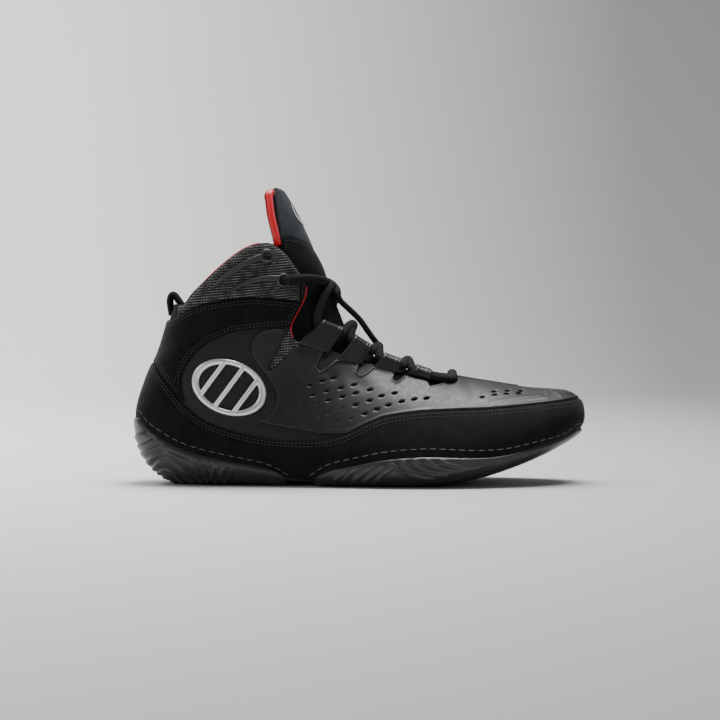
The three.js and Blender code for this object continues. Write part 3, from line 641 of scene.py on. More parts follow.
def ribbed_film(name):
    """Moulded film: dull, with fine ribs that show only in patches."""
    material, tree, shader = finish(name, "#26262a", 0.6, Specular_IOR_Level=0.3)
    v = place_mm(tree)
    lines = node(tree, "ShaderNodeTexWave", {"Vector": v, "Scale": 0.24, "Distortion": 0.6,
                 "Detail": 2.0, "Detail Scale": 0.4},
                 wave_type="BANDS", bands_direction="X").outputs["Fac"]
    patch = noise(tree, v, 6.0, 3.0)
    colour = tone(tree, maths(tree, "MULTIPLY", lines, patch), "#060606", "#2a2827")
    link(tree, colour, shader, "Base Color")
    bump(tree, shader, lines, 0.08 * MM, 0.5)
    return material


def plain(name, colour, roughness, size=1.0, depth=0.05, **sockets):
    """A finish with an even fine grain."""
    material, tree, shader = finish(name, colour, roughness, **sockets)
    bump(tree, shader, noise(tree, place_mm(tree), size, 3.0), depth * MM, 0.7)
    return material


def braid(name, dark, light):
    """Round braid: strands crossing both ways, painted shade in the gaps between them, and without shine.
    """
    material, tree, shader = finish(name, dark, 0.9, Specular_IOR_Level=0.2)
    s, c = wrap(tree, 1.3, 6.0)
    waves = []
    for sign in (1.0, -1.0):
        slant = maths(tree, "ADD", s, maths(tree, "MULTIPLY", c, sign))
        waves.append(maths(tree, "PINGPONG", slant, 0.5))
    weave = maths(tree, "MULTIPLY", waves[0], waves[1])
    # The dark tone in the gaps between the strands is painted shade; the light tone is the braid's own
    # colour.
    link(tree, tone(tree, mapped(tree, weave, 0.0, 0.12, 0.0, 1.0), dark, light), shader, "Base Color")
    bump(tree, shader, weave, 0.5 * MM, 0.8)
    return material


print("recipes")

# %% [markdown]
# ### The finishes of the shoe
# Nearly all are black or dark grey, and only grain, sheen and seams tell them apart. Red satin
# and silver foil are the two accents.

# %% The finishes of the shoe
black_suede = suede("black suede", "#050607", "#15171a")
nubuck = suede("charcoal nubuck", "#232528", "#3b3e42")
leather = smooth_leather("smooth leather", "#090a0c", "#131517", 0.47)
strap_leather = smooth_leather("strap leather", "#08090a", "#131416", 0.45)
knit = mesh_cloth("ankle_mesh")
film = ribbed_film("ribbed film")
lace_braid = braid("lace braid", "#030304", "#1e2022")
# Satin shows a saturated red with a soft gloss; the cord of the piping is duller
lining = plain("red satin lining", "#cf0519", 0.38, 1.2, 0.08, Sheen_Weight=0.2)
piping = plain("red piping", "#a81222", 0.45, 0.8, 0.06)
# Woven cloth takes the light evenly, without shine
textile = plain("black textile", "#08080a", 0.9, 0.6, 0.1, Specular_IOR_Level=0.2)
footbed = plain("footbed cloth", "#17181a", 0.9, 0.8, 0.1)
# Rubber and plastic show soft highlights along their edges
rubber = plain("gum rubber, dark grey", "#222223", 0.38, 0.7, 0.05)
moulding = plain("moulded eyelet plastic", "#222325", 0.5, 1.0, 0.04)
# Foil mirrors the studio; the print is flat and pale
silver = plain("silver foil", "#d4d6d8", 0.3, 2.0, 0.02, Metallic=0.75)
grey_print = plain("grey print film", "#9b9ea1", 0.5, 1.0, 0.02)
# Threads stand out from what they sew by their tone
grey_thread = plain("grey thread", "#626464", 0.7, 0.3, 0.05)
edge_thread = plain("dark grey thread", "#4a4d4f", 0.7, 0.3, 0.05)
dark_thread = plain("black thread", "#303335", 0.7, 0.3, 0.05)
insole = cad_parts["insole"]
insole.data.materials.clear()
insole.data.materials.append(footbed)
print("finishes", len(bpy.data.materials))

# %% [markdown]
# ## The wall of the upper and its lining
# The textile wall is one sock. Outside it is dark; the lining inside is red satin, and the
# collar's mesh is padded and rolled over its edge.

# %% Wall, lining and collar
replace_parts(panel("upper_wall", wall_field, lambda d, *_: np.zeros_like(d), textile,
                  cell=1.3 * MM), "upper")


def lining_height(d, *_):
    """Flush with the wall at the mouth, and a little slack below it."""
    return np.full_like(d, -WALL) - 0.6 * MM * np.clip(d / (6 * MM), 0, 1)


panel("lining", wall_field, lining_height, lining, flip=True, cell=1.5 * MM, t_range=(0.3, TOP_ROW))


def puffed(d, low, high, roll):
    """Height of a padded panel, round from its edge."""
    return low + (high - low) * np.sqrt(np.clip(1 - (1 - np.clip(d / roll, 0, 1)) ** 2, 0, 1))


MESH_END = side([(0.097, 0.6)])[0, 0]


def mesh_field(x, z, y, T, A):
    return np.minimum(collar_field(x, z, y, T, A), x - MESH_END)


panel("ankle_mesh", mesh_field, lambda d, *_: puffed(d, -0.6 * MM, 1.5 * MM, 4 * MM), knit,
      t_range=(10, TOP_ROW), foot=-WALL, at=MM)

# Embossed lines of the film: side view points, height and half width in mm
EMBOSSED = [
    ([(0.340, 0.503), (0.312, 0.506), (0.286, 0.497), (0.262, 0.478), (0.250, 0.452)], 0.7, 0.9),
    ([(0.336, 0.478), (0.312, 0.482), (0.290, 0.472), (0.272, 0.455)], 0.5, 0.8),
    ([(0.262, 0.440), (0.284, 0.405), (0.309, 0.380), (0.326, 0.340), (0.330, 0.290),
      (0.318, 0.245), (0.298, 0.210)], 0.6, 0.9),
    ([(0.300, 0.400), (0.326, 0.372), (0.342, 0.332), (0.344, 0.285), (0.334, 0.240)], -0.5, 0.9)]
embossed = [(curve(points), high * MM, wide * MM) for points, high, wide in EMBOSSED]


def film_height(d, x, z, *_):
    return 0.2 * MM + sum(high * np.exp(-(off_line(line, x, z) / wide) ** 2)
                          for line, high, wide in embossed)


def window_field(x, z, y, T, A):
    return np.minimum(np.minimum(-inside(PANEL_LINE, x, z), -inside(RAND_LINE, x, z)),
                      np.minimum(-inside(COLLAR_LINE, x, z), -inside(MOUTH, x, z)))


panel("quarter_film", window_field, film_height, film, t_range=(8, 19), cell=0.8 * MM)
# A wedge of the same mesh fills the gap between the film and the vamp
WEDGE = side([(0.342, 0.511), (0.328, 0.479), (0.315, 0.437), (0.303, 0.392), (0.308, 0.370),
              (0.330, 0.399), (0.350, 0.437), (0.369, 0.467), (0.352, 0.486), (0.350, 0.511)])
panel("wedge_mesh", lambda x, z, *_: inside(WEDGE, x, z),
      lambda d, *_: puffed(d, 0.1 * MM, 0.8 * MM, MM), knit, t_range=(9, 15))

# %% [markdown]
# ## Vamp
# Smooth leather, cut in a zigzag at the lace loops and pierced with rows of slanting holes.
# Where the foot bends the leather is creased, and the film of the toe ends in a low ridge.

# %% Vamp
# Half length, half width and slant of the holes, the toe holes and the dimples
HOLE = (1.75 * MM, 0.72 * MM, math.radians(9))
TOE_HOLE = (1.6 * MM, 0.45 * MM, math.radians(4))
DIMPLE = (1.4 * MM, 0.6 * MM, math.radians(9))
HOLES = [(0.443, 0.348), (0.419, 0.338), (0.391, 0.324), (0.487, 0.324), (0.458, 0.313), (0.428, 0.304),
    (0.398, 0.291), (0.522, 0.307), (0.491, 0.296), (0.462, 0.284), (0.432, 0.273),
    (0.576, 0.296), (0.547, 0.286), (0.521, 0.271), (0.491, 0.257),
    (0.646, 0.279), (0.619, 0.276), (0.591, 0.268), (0.562, 0.256), (0.537, 0.242), (0.511, 0.227)]
TOE_HOLES = [(0.769, 0.282), (0.796, 0.299), (0.797, 0.289), (0.827, 0.301), (0.824, 0.292),
    (0.857, 0.300), (0.852, 0.294)]
DIMPLES = [(0.376, 0.402), (0.354, 0.382), (0.328, 0.362), (0.374, 0.358), (0.340, 0.340), (0.352, 0.322),
    (0.340, 0.301), (0.370, 0.307), (0.334, 0.258), (0.370, 0.263), (0.344, 0.228), (0.375, 0.240),
    (0.404, 0.258), (0.368, 0.205), (0.430, 0.229), (0.409, 0.215), (0.450, 0.199), (0.481, 0.210),
    (0.460, 0.243)]
HOLES_AT = 1.4 * MM


def nearest(places, x, z, long, short, tilt):
    """Distance outside the nearest of some slanting ellipses."""
    best = np.full(x.shape, np.inf)
    for cx, cz in places:
        u = (x - cx) * math.cos(tilt) + (z - cz) * math.sin(tilt)
        v = -(x - cx) * math.sin(tilt) + (z - cz) * math.cos(tilt)
        best = np.minimum(best, (np.sqrt((u / long) ** 2 + (v / short) ** 2) - 1) * short)
    return best


hole_places, toe_places, dimple_places = side(HOLES), side(TOE_HOLES), side(DIMPLES)


def holes(x, z):
    """Distance outside the nearest hole."""
    return np.minimum(nearest(hole_places, x, z, *HOLE), nearest(toe_places, x, z, *TOE_HOLE))


def vamp_plain(x, z, y, T, A):
    d = np.minimum(inside(VAMP_LINE, x, z), -inside(RAND_LINE, x, z) + 0.6 * MM)
    return np.minimum(d, -inside(MOUTH, x, z))


def vamp_field(x, z, y, T, A):
    return np.minimum(vamp_plain(x, z, y, T, A), holes(x, z))


# Creases of the vamp and ridges of the toe film: side view line, depth and half width in mm
CREASES = [
    ([(0.735, 0.325), (0.748, 0.300), (0.752, 0.270)], 0.2, 3.5),
    ([(0.690, 0.340), (0.700, 0.300), (0.700, 0.260)], 0.15, 4.5),
    ([(0.610, 0.345), (0.632, 0.300), (0.640, 0.255)], 0.2, 4.5),
    ([(0.380, 0.440), (0.405, 0.395), (0.440, 0.350)], 0.5, 3.5),
    ([(0.465, 0.395), (0.480, 0.350), (0.505, 0.320)], 0.4, 4.0),
    ([(0.545, 0.372), (0.565, 0.335), (0.590, 0.310)], 0.4, 4.0),
    ([(0.900, 0.285), (0.860, 0.281), (0.820, 0.272), (0.780, 0.262)], -0.30, 0.8),
    ([(0.915, 0.278), (0.870, 0.272), (0.830, 0.264), (0.790, 0.256)], -0.25, 0.7),
    ([(0.927, 0.298), (0.938, 0.290), (0.946, 0.278)], -0.25, 0.8),
    ([(0.850, 0.292), (0.880, 0.289), (0.905, 0.293)], 0.3, 1.2)]
crease_lines = [(curve(p), depth * MM, width * MM) for p, depth, width in CREASES]


def vamp_height(d, x, z, y, T, A):
    edge = vamp_plain(x, z, y, T, A)
    bead = 0.4 * MM * np.exp(-((edge - 0.9 * MM) / (0.6 * MM)) ** 2)
    h = rolled(edge, 0.4 * MM, VAMP + bead, 0.9 * MM)
    h = np.minimum(h, rolled(holes(x, z), 0.7 * MM, h, 0.4 * MM))
    h = h - 0.45 * MM * np.clip(-nearest(dimple_places, x, z, *DIMPLE) / (0.35 * MM), 0, 1)
    return h - sum(depth * np.exp(-(off_line(line, x, z) / width) ** 2)
                   for line, depth, width in crease_lines)


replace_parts(panel("vamp_skin", vamp_field, vamp_height, leather, t_range=(-0.97, 14), foot=0.0,
                  at=HOLES_AT, cell=0.75 * MM), "vamp")

# %% [markdown]
# ## Suede
# The rand wraps the whole shoe above the sole. The ankle panel frames the window.

# %% Suede
AROUND = (0.0, 2 * math.pi)
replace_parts(panel("rand_suede", rand_field, lambda d, *_: rolled(d, 0.3 * MM, RAND), black_suede,
                  foot=0.0, a_range=AROUND, at=RAND), "rand")
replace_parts(panel("ankle_suede", panel_field, lambda d, *_: rolled(d, 0.3 * MM, PANEL), black_suede,
                  t_range=(9, TOP_ROW), foot=0.0, a_range=AROUND, at=PANEL), "ankle_panel")

# %% [markdown]
# ## Tongue
# Padded, with black suede below and charcoal nubuck above a curved seam, a red satin back and a
# red roll round its edge. A light grey print repeats the grille of the side.


# %% Tongue
# Radius of the roll; height and place of its front edge at the top, how far that edge comes
# forward per metre down, and the height below which the face of the tongue is cut no more
ROLL = 2.3 * MM
ROLL_TOP, ROLL_X, ROLL_LEAN, ROLL_FOOT = 0.1849, -0.0543, 0.136, 0.147
# Padding of the tongue: its thickest place, reach and rise
PAD_Z, PAD_REACH, PAD = 0.136, 0.014, 1.4 * MM


def behind(x, z):
    """How far a place lies behind the front edge of the roll, in the side view."""
    return ROLL_X + (ROLL_TOP - z) * ROLL_LEAN - x


def tongue_face(x, z, y, T, A):
    """The face ends at the front edge of the roll."""
    front = 2 * np.clip(ROLL_FOOT - z, 0, None) - behind(x, z)
    return np.minimum(tongue_field(x, z, y, T, A), front)


def tongue_low(x, z, y, T, A):
    return np.minimum(tongue_face(x, z, y, T, A), -inside(SEAM_LINE, x, z))


def tongue_high(x, z, y, T, A):
    return np.minimum(tongue_face(x, z, y, T, A), inside(SEAM_LINE, x, z))


def tongue_height(d, x, z, *_):
    pad = PAD * np.exp(-((z - PAD_Z) / PAD_REACH) ** 2)
    return puffed(d, TONGUE_OUT - 0.5 * MM, TONGUE_OUT, 2 * MM) + pad


TONGUE = {"t_range": (5, TOP_ROW), "a_range": (-2.2, 2.2), "at": TONGUE_AT}
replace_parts(panel("tongue_suede", tongue_low, tongue_height,
                  black_suede, foot=TONGUE_IN, **TONGUE), "tongue")
panel("tongue_nubuck", tongue_high, tongue_height, nubuck, foot=TONGUE_IN, **TONGUE)
panel("tongue_lining", tongue_field, lambda d, *_: puffed(d, TONGUE_IN + 1.5 * MM, TONGUE_IN, 3 * MM),
      lining, flip=True, **TONGUE)


def oval(u, v, half_u, half_v):
    """Distance inside an oval, good near its edge."""
    return (1 - np.sqrt((u / half_u) ** 2 + (v / half_v) ** 2)) * min(half_u, half_v)


def grille(u, v, half_u, half_v, bar, slant):
    """Distance inside an oval ring crossed by three slanting bars."""
    d = oval(u, v, half_u, half_v)
    ring = np.minimum(d, bar - d)
    along = u - slant * v
    bars = np.max([bar / 2 - np.abs(along - k * half_u / 2) for k in (-1, 0, 1)], axis=0)
    return np.maximum(ring, np.minimum(bars, d))


PRINT_CENTRE, PRINT_HALF, PRINT_BAR = 0.1705, (9.5 * MM, 8.0 * MM), 1.5 * MM
BAR_SLANT = 0.3


def print_field(x, z, y, T, A):
    return grille(y, z - PRINT_CENTRE, *PRINT_HALF, PRINT_BAR, BAR_SLANT)


panel("tongue_print", print_field, lambda d, *_: np.full_like(d, TONGUE_OUT + 0.45 * MM),
      grey_print, t_range=(15, TOP_ROW), a_range=(-1.3, 1.3), at=TONGUE_OUT, cell=0.4 * MM)

# %% [markdown]
# ## Side badge
# A plain silver grille: an oval ring crossed by slanting bars, with a bevelled edge.

# %% Side badge
BADGE_CENTRE, BADGE_HALF = side([(0.214, 0.317)])[0], (24 * MM, 17 * MM)
BADGE_TILT, BADGE_BAR = -0.35, 3.4 * MM


def badge_field(x, z, y, T, A):
    u, v = x - BADGE_CENTRE[0], z - BADGE_CENTRE[1]
    cos, sin = math.cos(BADGE_TILT), math.sin(BADGE_TILT)
    return grille(u * cos + v * sin, -u * sin + v * cos, *BADGE_HALF, BADGE_BAR, BAR_SLANT)


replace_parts(panel("badge_film", badge_field, lambda d, *_: rolled(d, 0.4 * MM, 2.3 * MM, 1.6 * MM),
                  silver, t_range=(8, 18), a_range=(0.3, 2.6), foot=0.2 * MM, at=1.5 * MM,
                  cell=0.4 * MM), "side_badge")

# %% [markdown]
# ## Eyelet arms
# Moulded arms with an eyelet ring, rounded on top.

# %% Eyelet arms
# Middle line of each arm; its last point is the centre of the eyelet
ARMS = {
    "upper": [(0.177, 0.654), (0.205, 0.695), (0.249, 0.740), (0.281, 0.762), (0.298, 0.766)],
    "lower": [(0.211, 0.640), (0.244, 0.671), (0.281, 0.688), (0.318, 0.690), (0.333, 0.683)]}
EYELET, RIM = 2.2 * MM, 4.8 * MM


def arm_field(points):
    """An arm that widens from its tail to the ring round the eyelet."""
    line, ring = curve(points), side(points[-1])
    way = way_along(line)

    def field(x, z, y, T, A):
        best, half = np.full(x.shape, np.inf), np.zeros(x.shape)
        for k in range(len(line) - 1):
            d = off_line(line[k:k + 2], x, z)
            half = np.where(d < best, (0.7 + 1.7 * (way[k] / way[-1]) ** 0.45) * MM, half)
            best = np.minimum(best, d)
        away = np.hypot(x - ring[0], z - ring[1])
        return np.minimum(np.maximum(half - best, RIM - away), away - EYELET)
    return field


for label, turn in (("lateral", (0.2, 2.4)), ("medial", (-2.4, -0.2))):
    for level, points in ARMS.items():
        arm = panel(f"arm_{label}_{level}", arm_field(points),
                    lambda d, *_: rolled(d, 0.8 * MM, 3.3 * MM, 1.5 * MM), moulding,
                    t_range=(14, TOP_ROW), a_range=turn, foot=0.3 * MM, at=2 * MM, cell=0.4 * MM)
        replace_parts(arm, f"eyelet_arm_{label}_{level}")


# %% [markdown]
# ## Tubes
# Laces, piping and rolls are tubes along a path. The edges of the collar and the throat are
# bound with red piping, and the tongue ends in a padded red roll.


# %% Tubes
def resampled(p, step):
    """Even steps along a path; columns past the third ride along."""
    way = way_along(p[:, :3])
    at = np.linspace(0, way[-1], max(int(way[-1] / step), 2) + 1)
    return np.stack([np.interp(at, way, p[:, k]) for k in range(p.shape[1])], 1)


def tube(name, points, radius, material, sides=12, step=None, flat=1.0, ups=None):
    """Round or flattened tube through points, with its length and turn as texture place."""
    p = np.asarray(points, float)
    if step:
        p = resampled(spline(p, 6), step)
    way = way_along(p)
    tangent = np.gradient(p, axis=0)
    tangent /= np.linalg.norm(tangent, axis=1, keepdims=True)
    side_way, n = np.zeros_like(p), np.array([0, 1.0, 0.1])
    for i in range(len(p)):
        n = n if ups is None else ups[i]
        n = n - tangent[i] * np.dot(n, tangent[i])
        n = n / np.linalg.norm(n)
        side_way[i] = n
    other = np.cross(tangent, side_way)
    turn = np.linspace(0, 2 * math.pi, sides + 1)
    ring = (p[:, None] + radius * flat * np.cos(turn)[None, :, None] * side_way[:, None]
            + radius * np.sin(turn)[None, :, None] * other[:, None])
    verts = np.concatenate([ring.reshape(-1, 3), p[:1], p[-1:]])
    uv = np.stack(np.broadcast_arrays(way[:, None], turn[None] / (2 * math.pi)), -1).reshape(-1, 2)
    uv = np.concatenate([uv, uv[:1], uv[-1:]])
    m = sides + 1
    k = (np.arange(len(p) - 1)[:, None] * m + np.arange(sides)[None]).ravel()
    faces = np.concatenate([np.stack([k, k + m + 1, k + 1], 1),
                            np.stack([k, k + m, k + m + 1], 1)])
    j, last = np.arange(sides), (len(p) - 1) * m
    faces = np.concatenate([faces, np.stack([j * 0 + len(verts) - 2, j, j + 1], 1),
                            np.stack([j * 0 + len(verts) - 1, last + j + 1, last + j], 1)])
    return mesh_object(name, verts, faces, material, uv)


def edge_runs(field, offset, t_range, a_range, keep=None, inset=0.0, at=0.0):
    """Places and normals along the edge of a field, or along a line inset from it."""
    runs = []
    for line in contours(lambda *a: field(*a) - inset, t_range, a_range, at):
        t, a = line.T
        p, n = skin(t, a, np.full(len(t), offset)), last_normal(t, a)
        parts = [np.arange(len(p))]
        if keep is not None:
            good = keep(p)
            parts = np.split(np.arange(len(p)), np.flatnonzero(np.diff(good.astype(int))) + 1)
            parts = [part for part in parts if good[part[0]]]
        for part in parts:
            if len(part) > 6:
                q, m = p[part].copy(), n[part]
                for _ in range(4):
                    q[1:-1] = (q[:-2] + 2 * q[1:-1] + q[2:]) / 4
                runs.append((q, m))
    return runs


def edge_rolls(name, runs, radius, material):
    """A tube along each run of an edge."""
    for i, (p, n) in enumerate(runs):
        tube(f"{name}_{i + 1}", p, radius, material, sides=10, ups=n)
    print(name, len(runs), "runs")


def within(low, high=FAR, back=-FAR, front=FAR):
    """Keeps what lies between two heights, and between two places along the shoe."""
    return lambda p: (p[:, 2] > low) & (p[:, 2] < high) & (p[:, 0] > back) & (p[:, 0] < front)


print("tools for tubes")

# %% [markdown]
# ### Piping and rolls
# Piping is a cord in a strip of cloth, sewn into an edge. Here it follows the cut edge of the
# wall, and the roll of the tongue follows a line a little inside its edge.

# %% Piping and rolls
edge_rolls("collar_lip", edge_runs(wall_field, -1.9 * MM, (9, TOP_ROW), (-2.9, 2.9),
                                   keep=within(0.116, front=-0.062)), 0.65 * MM, piping)
edge_rolls("throat_piping", edge_runs(wall_field, 0.4 * MM, (9, TOP_ROW), (-2.0, 2.0),
                                      keep=within(0.0925, 0.1245, back=-0.05)), 0.5 * MM, piping)


def tucked(p, n, way):
    """The roll of the tongue: full at the back edges, tucked behind the nubuck over the top."""
    over = np.clip(1 - behind(p[:, 0], p[:, 2]) / (1.5 * MM), 0, 1)[:, None]
    p = p - over * (2.2 * MM * n + [0, 0, 1.6 * MM])
    ends = [p[i] + (p[i] - p[j]) / np.linalg.norm(p[i] - p[j]) * way for i, j in ((0, 3), (-1, -4))]
    return np.vstack([ends[:1], p, ends[1:]]), np.vstack([n[:1], n, n[-1:]])


tongue_runs = edge_runs(tongue_field, (TONGUE_OUT + TONGUE_IN) / 2, (11, TOP_ROW), (-2.2, 2.2),
                        keep=within(0.157), inset=ROLL, at=TONGUE_AT)
edge_rolls("tongue_roll", [tucked(p, n, 7 * MM) for p, n in tongue_runs], ROLL, lining)

# %% [markdown]
# ## Pull loop
# A flat tape behind the heel, doubled to a loop for a finger and sewn down at both ends.

# %% Pull loop
PULL = [(0.0830, 0.560), (0.0795, 0.590), (0.0785, 0.614), (0.0820, 0.630), (0.0885, 0.630),
    (0.0965, 0.614), (0.1030, 0.598), (0.1050, 0.574), (0.1010, 0.556)]
pull = curve(PULL, 6)
pull = np.stack([pull[:, 0], 0 * pull[:, 0], pull[:, 1]], 1)
pull_up = np.tile([0, 1.0, 0], (len(pull), 1))
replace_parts(tube("pull_strap", pull, 2.2 * MM, textile, sides=24, flat=3.0, ups=pull_up), "pull_loop")

# %% [markdown]
# ## Lace loops
# A loop is a folded leather strap: two plies sewn together at the base and open round the
# lace, with raised piping near both edges. Four stand on each side of the throat.

# %% Lace loops
# The two ends of the sewn edge in the side view, and of the fold: row, angle and mm outside
LOOPS = [
    (((0.366, 0.469), (0.430, 0.437)), ((11.80, 0.58, 1.8), (10.50, 0.36, 3.0))),
    (((0.453, 0.412), (0.503, 0.393)), ((9.80, 0.27, 3.8), (8.92, 0.22, 4.4))),
    (((0.532, 0.383), (0.582, 0.362)), ((8.36, 0.24, 4.2), (7.74, 0.24, 3.8))),
    (((0.606, 0.356), (0.655, 0.337)), ((7.28, 0.25, 3.0), (6.82, 0.28, 2.4)))]
LOOP_RADIUS = STRAP + 0.3 * MM + LACE / 2


def fold_axis(loop, sign):
    """Middle line of the lace where it passes a loop."""
    return [skin(t, sign * a, over * MM) for t, a, over in loop[1]]


def turn_sign(outline):
    """1 where an outline runs against the clock, -1 where it runs with it."""
    a, b = outline, np.roll(outline, -1, 0)
    return np.sign(np.sum(a[:, 0] * b[:, 1] - b[:, 0] * a[:, 1]))


def strap_outline(reach, inward):
    """Outline across a strap: from the sewn end, round the lace and back."""
    radius, half = LOOP_RADIUS - inward, max(STRAP - inward, 0.15 * MM)
    far = max(reach + 1.5 * MM, LOOP_RADIUS + 0.6 * MM) - inward * 1.2
    turn = math.atan2(half, far) + math.acos(radius / math.hypot(far, half))
    arc = [(radius * math.cos(a), radius * math.sin(a))
           for a in np.linspace(turn, 2 * math.pi - turn, 26)]
    rise = [(far + (arc[0][0] - far) * w, half + (arc[0][1] - half) * w)
            for w in np.linspace(0, 1, 9)[:-1]]
    return np.array(rise + arc + [(a, -b) for a, b in rise[::-1]])


def lifted(outline, height):
    """An outline moved outward."""
    edge = np.gradient(outline, axis=0)
    edge /= np.linalg.norm(edge, axis=1, keepdims=True)
    return outline + np.stack([edge[:, 1], -edge[:, 0]], 1) * height * turn_sign(outline)


def strap_faces(rows, m):
    """Triangles of the outer face, the inner face and both open edges."""
    k = np.arange(rows - 1)[:, None] * m + np.arange(m)[None]
    right = np.arange(rows - 1)[:, None] * m + (np.arange(m)[None] + 1) % m
    outer = np.concatenate([np.stack([k, right, right + m], -1).reshape(-1, 3),
                            np.stack([k, right + m, k + m], -1).reshape(-1, 3)])
    faces = [outer, outer[:, ::-1] + rows * m]
    j, nxt = np.arange(m), (np.arange(m) + 1) % m
    for row, flip in ((0, 1), (rows - 1, -1)):
        a, b, c, d = row * m + j, row * m + nxt, (rows + row) * m + nxt, (rows + row) * m + j
        faces += [np.stack([a, d, c], 1)[:, ::flip], np.stack([a, c, b], 1)[:, ::flip]]
    return np.concatenate(faces)


def strap_loop(name, loop, sign):
    """A strap of two faces, the inner one its thickness inward of the outer."""
    base = [skin(*locate(side(p), sign), 1.1 * MM) for p in loop[0]]
    axis = fold_axis(loop, sign)
    width = np.linalg.norm(axis[1] - axis[0])
    along = (axis[1] - axis[0]) / width
    shares = np.linspace(0, 1, 60)
    raised = sum(0.28 * MM * np.exp(-((shares * width - at) / (0.5 * MM)) ** 2)
                 for at in (1.3 * MM, width - 1.2 * MM, width - 3.0 * MM))
    verts, uv = [], []
    for inward in (0.0, STRAP):
        for k, u in enumerate(shares):
            centre = axis[0] + (axis[1] - axis[0]) * u
            down = base[0] + (base[1] - base[0]) * u - centre
            slant = np.dot(down, along)
            down = down - along * slant
            reach = np.linalg.norm(down)
            down /= reach
            out = np.cross(along, down) * -sign
            outline = strap_outline(reach, inward)
            if inward == 0:
                outline = lifted(outline, raised[k])
            part = np.clip(outline[:, :1] / reach, -0.2, 1)
            verts.append(centre + outline[:, :1] * down + outline[:, 1:] * out + part * slant * along)
            uv.append(np.stack([np.full(len(outline), u * width), way_along(outline)], 1))
    faces = strap_faces(len(shares), len(verts[0]))
    obj = mesh_object(name, np.concatenate(verts), faces, strap_leather, np.concatenate(uv))
    outward(obj)
    return obj


def outward(obj):
    """Turn all faces to the outside."""
    mesh = obj.data
    bm = bmesh.new()
    bm.from_mesh(mesh)
    bmesh.ops.recalc_face_normals(bm, faces=bm.faces)
    bm.to_mesh(mesh)
    bm.free()


for label, sign in (("lateral", 1), ("medial", -1)):
    for i, loop in enumerate(LOOPS):
        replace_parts(strap_loop(f"strap_{label}_{i + 1}", loop, sign), f"lace_loop_{label}_{i + 1}")
print("loops", 2 * len(LOOPS))

# %% [markdown]
# ## Laces
# One braided lace runs from the lower eyelets over the ridge and through the loops, and its
# slack end is tucked under a crossing.

# %% Laces
# Where the lace crosses the ridge: row, mm outside the last, rise in rows and lean
CROSSINGS = [(10.20, 2.6, 0.12, 0.15), (8.66, 4.4, 0.07, 0.10), (7.54, 3.4, 0.06, 0.10)]
BAR = (6.28, 2.4, 0.24)
TOP_CROSSINGS = [(12.15, 0.4), (12.95, -0.1)]
# From the eyelet of the lower arm towards the last crossing, in the side view, and how many
# mm outside the last from the crossing back
RING_RUN, RING_OVER = [(0.350, 0.686), (0.378, 0.688), (0.408, 0.682)], (2.2, 3.4, 4.6)
NEAR_KNEE, FAR_KNEE = [(0.432, 0.668), (0.447, 0.646)], (13.1, -0.45, 0.2 * MM)


def on_side(p, sign, over):
    """Place of a side view point, some mm outside the last."""
    t, a = locate(side(p), sign)
    return skin(t, a, over * MM)


def lace_run(first):
    """One half of the lace, from the front bar through the loops to the eyelet."""
    row, over, lean = BAR
    points = [skin(row, 0.0, over * MM), skin(row, first * lean, over * MM)]
    sign = first
    for k in (3, 2, 1, 0):
        rear, front = fold_axis(LOOPS[k], sign)
        along = (front - rear) / np.linalg.norm(front - rear) * MM
        points += [front + along, (front + rear) / 2, rear - along]
        if k:
            row, over, rise, lean = CROSSINGS[k - 1]
            points += [skin(row - j * rise, j * sign * lean, over * MM) for j in (1, 0, -1)]
        else:
            row, over = TOP_CROSSINGS[0 if sign < 0 else 1]
            points += [skin(row - 0.35, sign * 0.42, (over + 0.6) * MM),
                       skin(row - 0.1, sign * 0.2, over * MM), skin(row, -sign * 0.1, over * MM)]
        sign = -sign
    if sign > 0:
        points += [on_side(p, sign, 0.6) for p in NEAR_KNEE[::-1]]
    else:
        points += [skin(*FAR_KNEE)]
    points += [on_side(p, sign, over) for p, over in zip(RING_RUN[::-1], RING_OVER)]
    points += [on_side(ARMS["lower"][-1], sign, over) for over in (2.6, -1.0)]
    return np.array(points)


laces = [tube(f"lace_{i + 1}", lace_run(sign), 3.1 * MM, lace_braid, sides=20, step=0.8 * MM,
              flat=0.85) for i, sign in enumerate((1, -1))]
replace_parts(laces[0], "lace_crossings")
SLACK_LINE = [(0.456, 0.612), (0.4706, 0.5894), (0.4861, 0.5667), (0.5017, 0.5405),
    (0.5172, 0.5056), (0.5290, 0.4800)]
slack = [skin(TOP_CROSSINGS[0][0], 0.0, TOP_CROSSINGS[0][1] * MM)]
slack += [np.array([x, 0.02 * BALL, z]) for x, z in side(SLACK_LINE)]
slack += [skin(CROSSINGS[1][0], 0.0, CROSSINGS[1][1] * MM)]
SLACK = 1.9 * MM
slack_path = resampled(spline(np.array(slack), 6), 0.8 * MM)
slack_end = tube("lace_slack", slack_path, SLACK, lace_braid, sides=20)
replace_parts(slack_end, "lace_end")

# %% [markdown]
# ## Outsole
# Two rubber units, thin up the sides. The heel rises in rings round two centres, and the
# forefoot has flowing ribs.

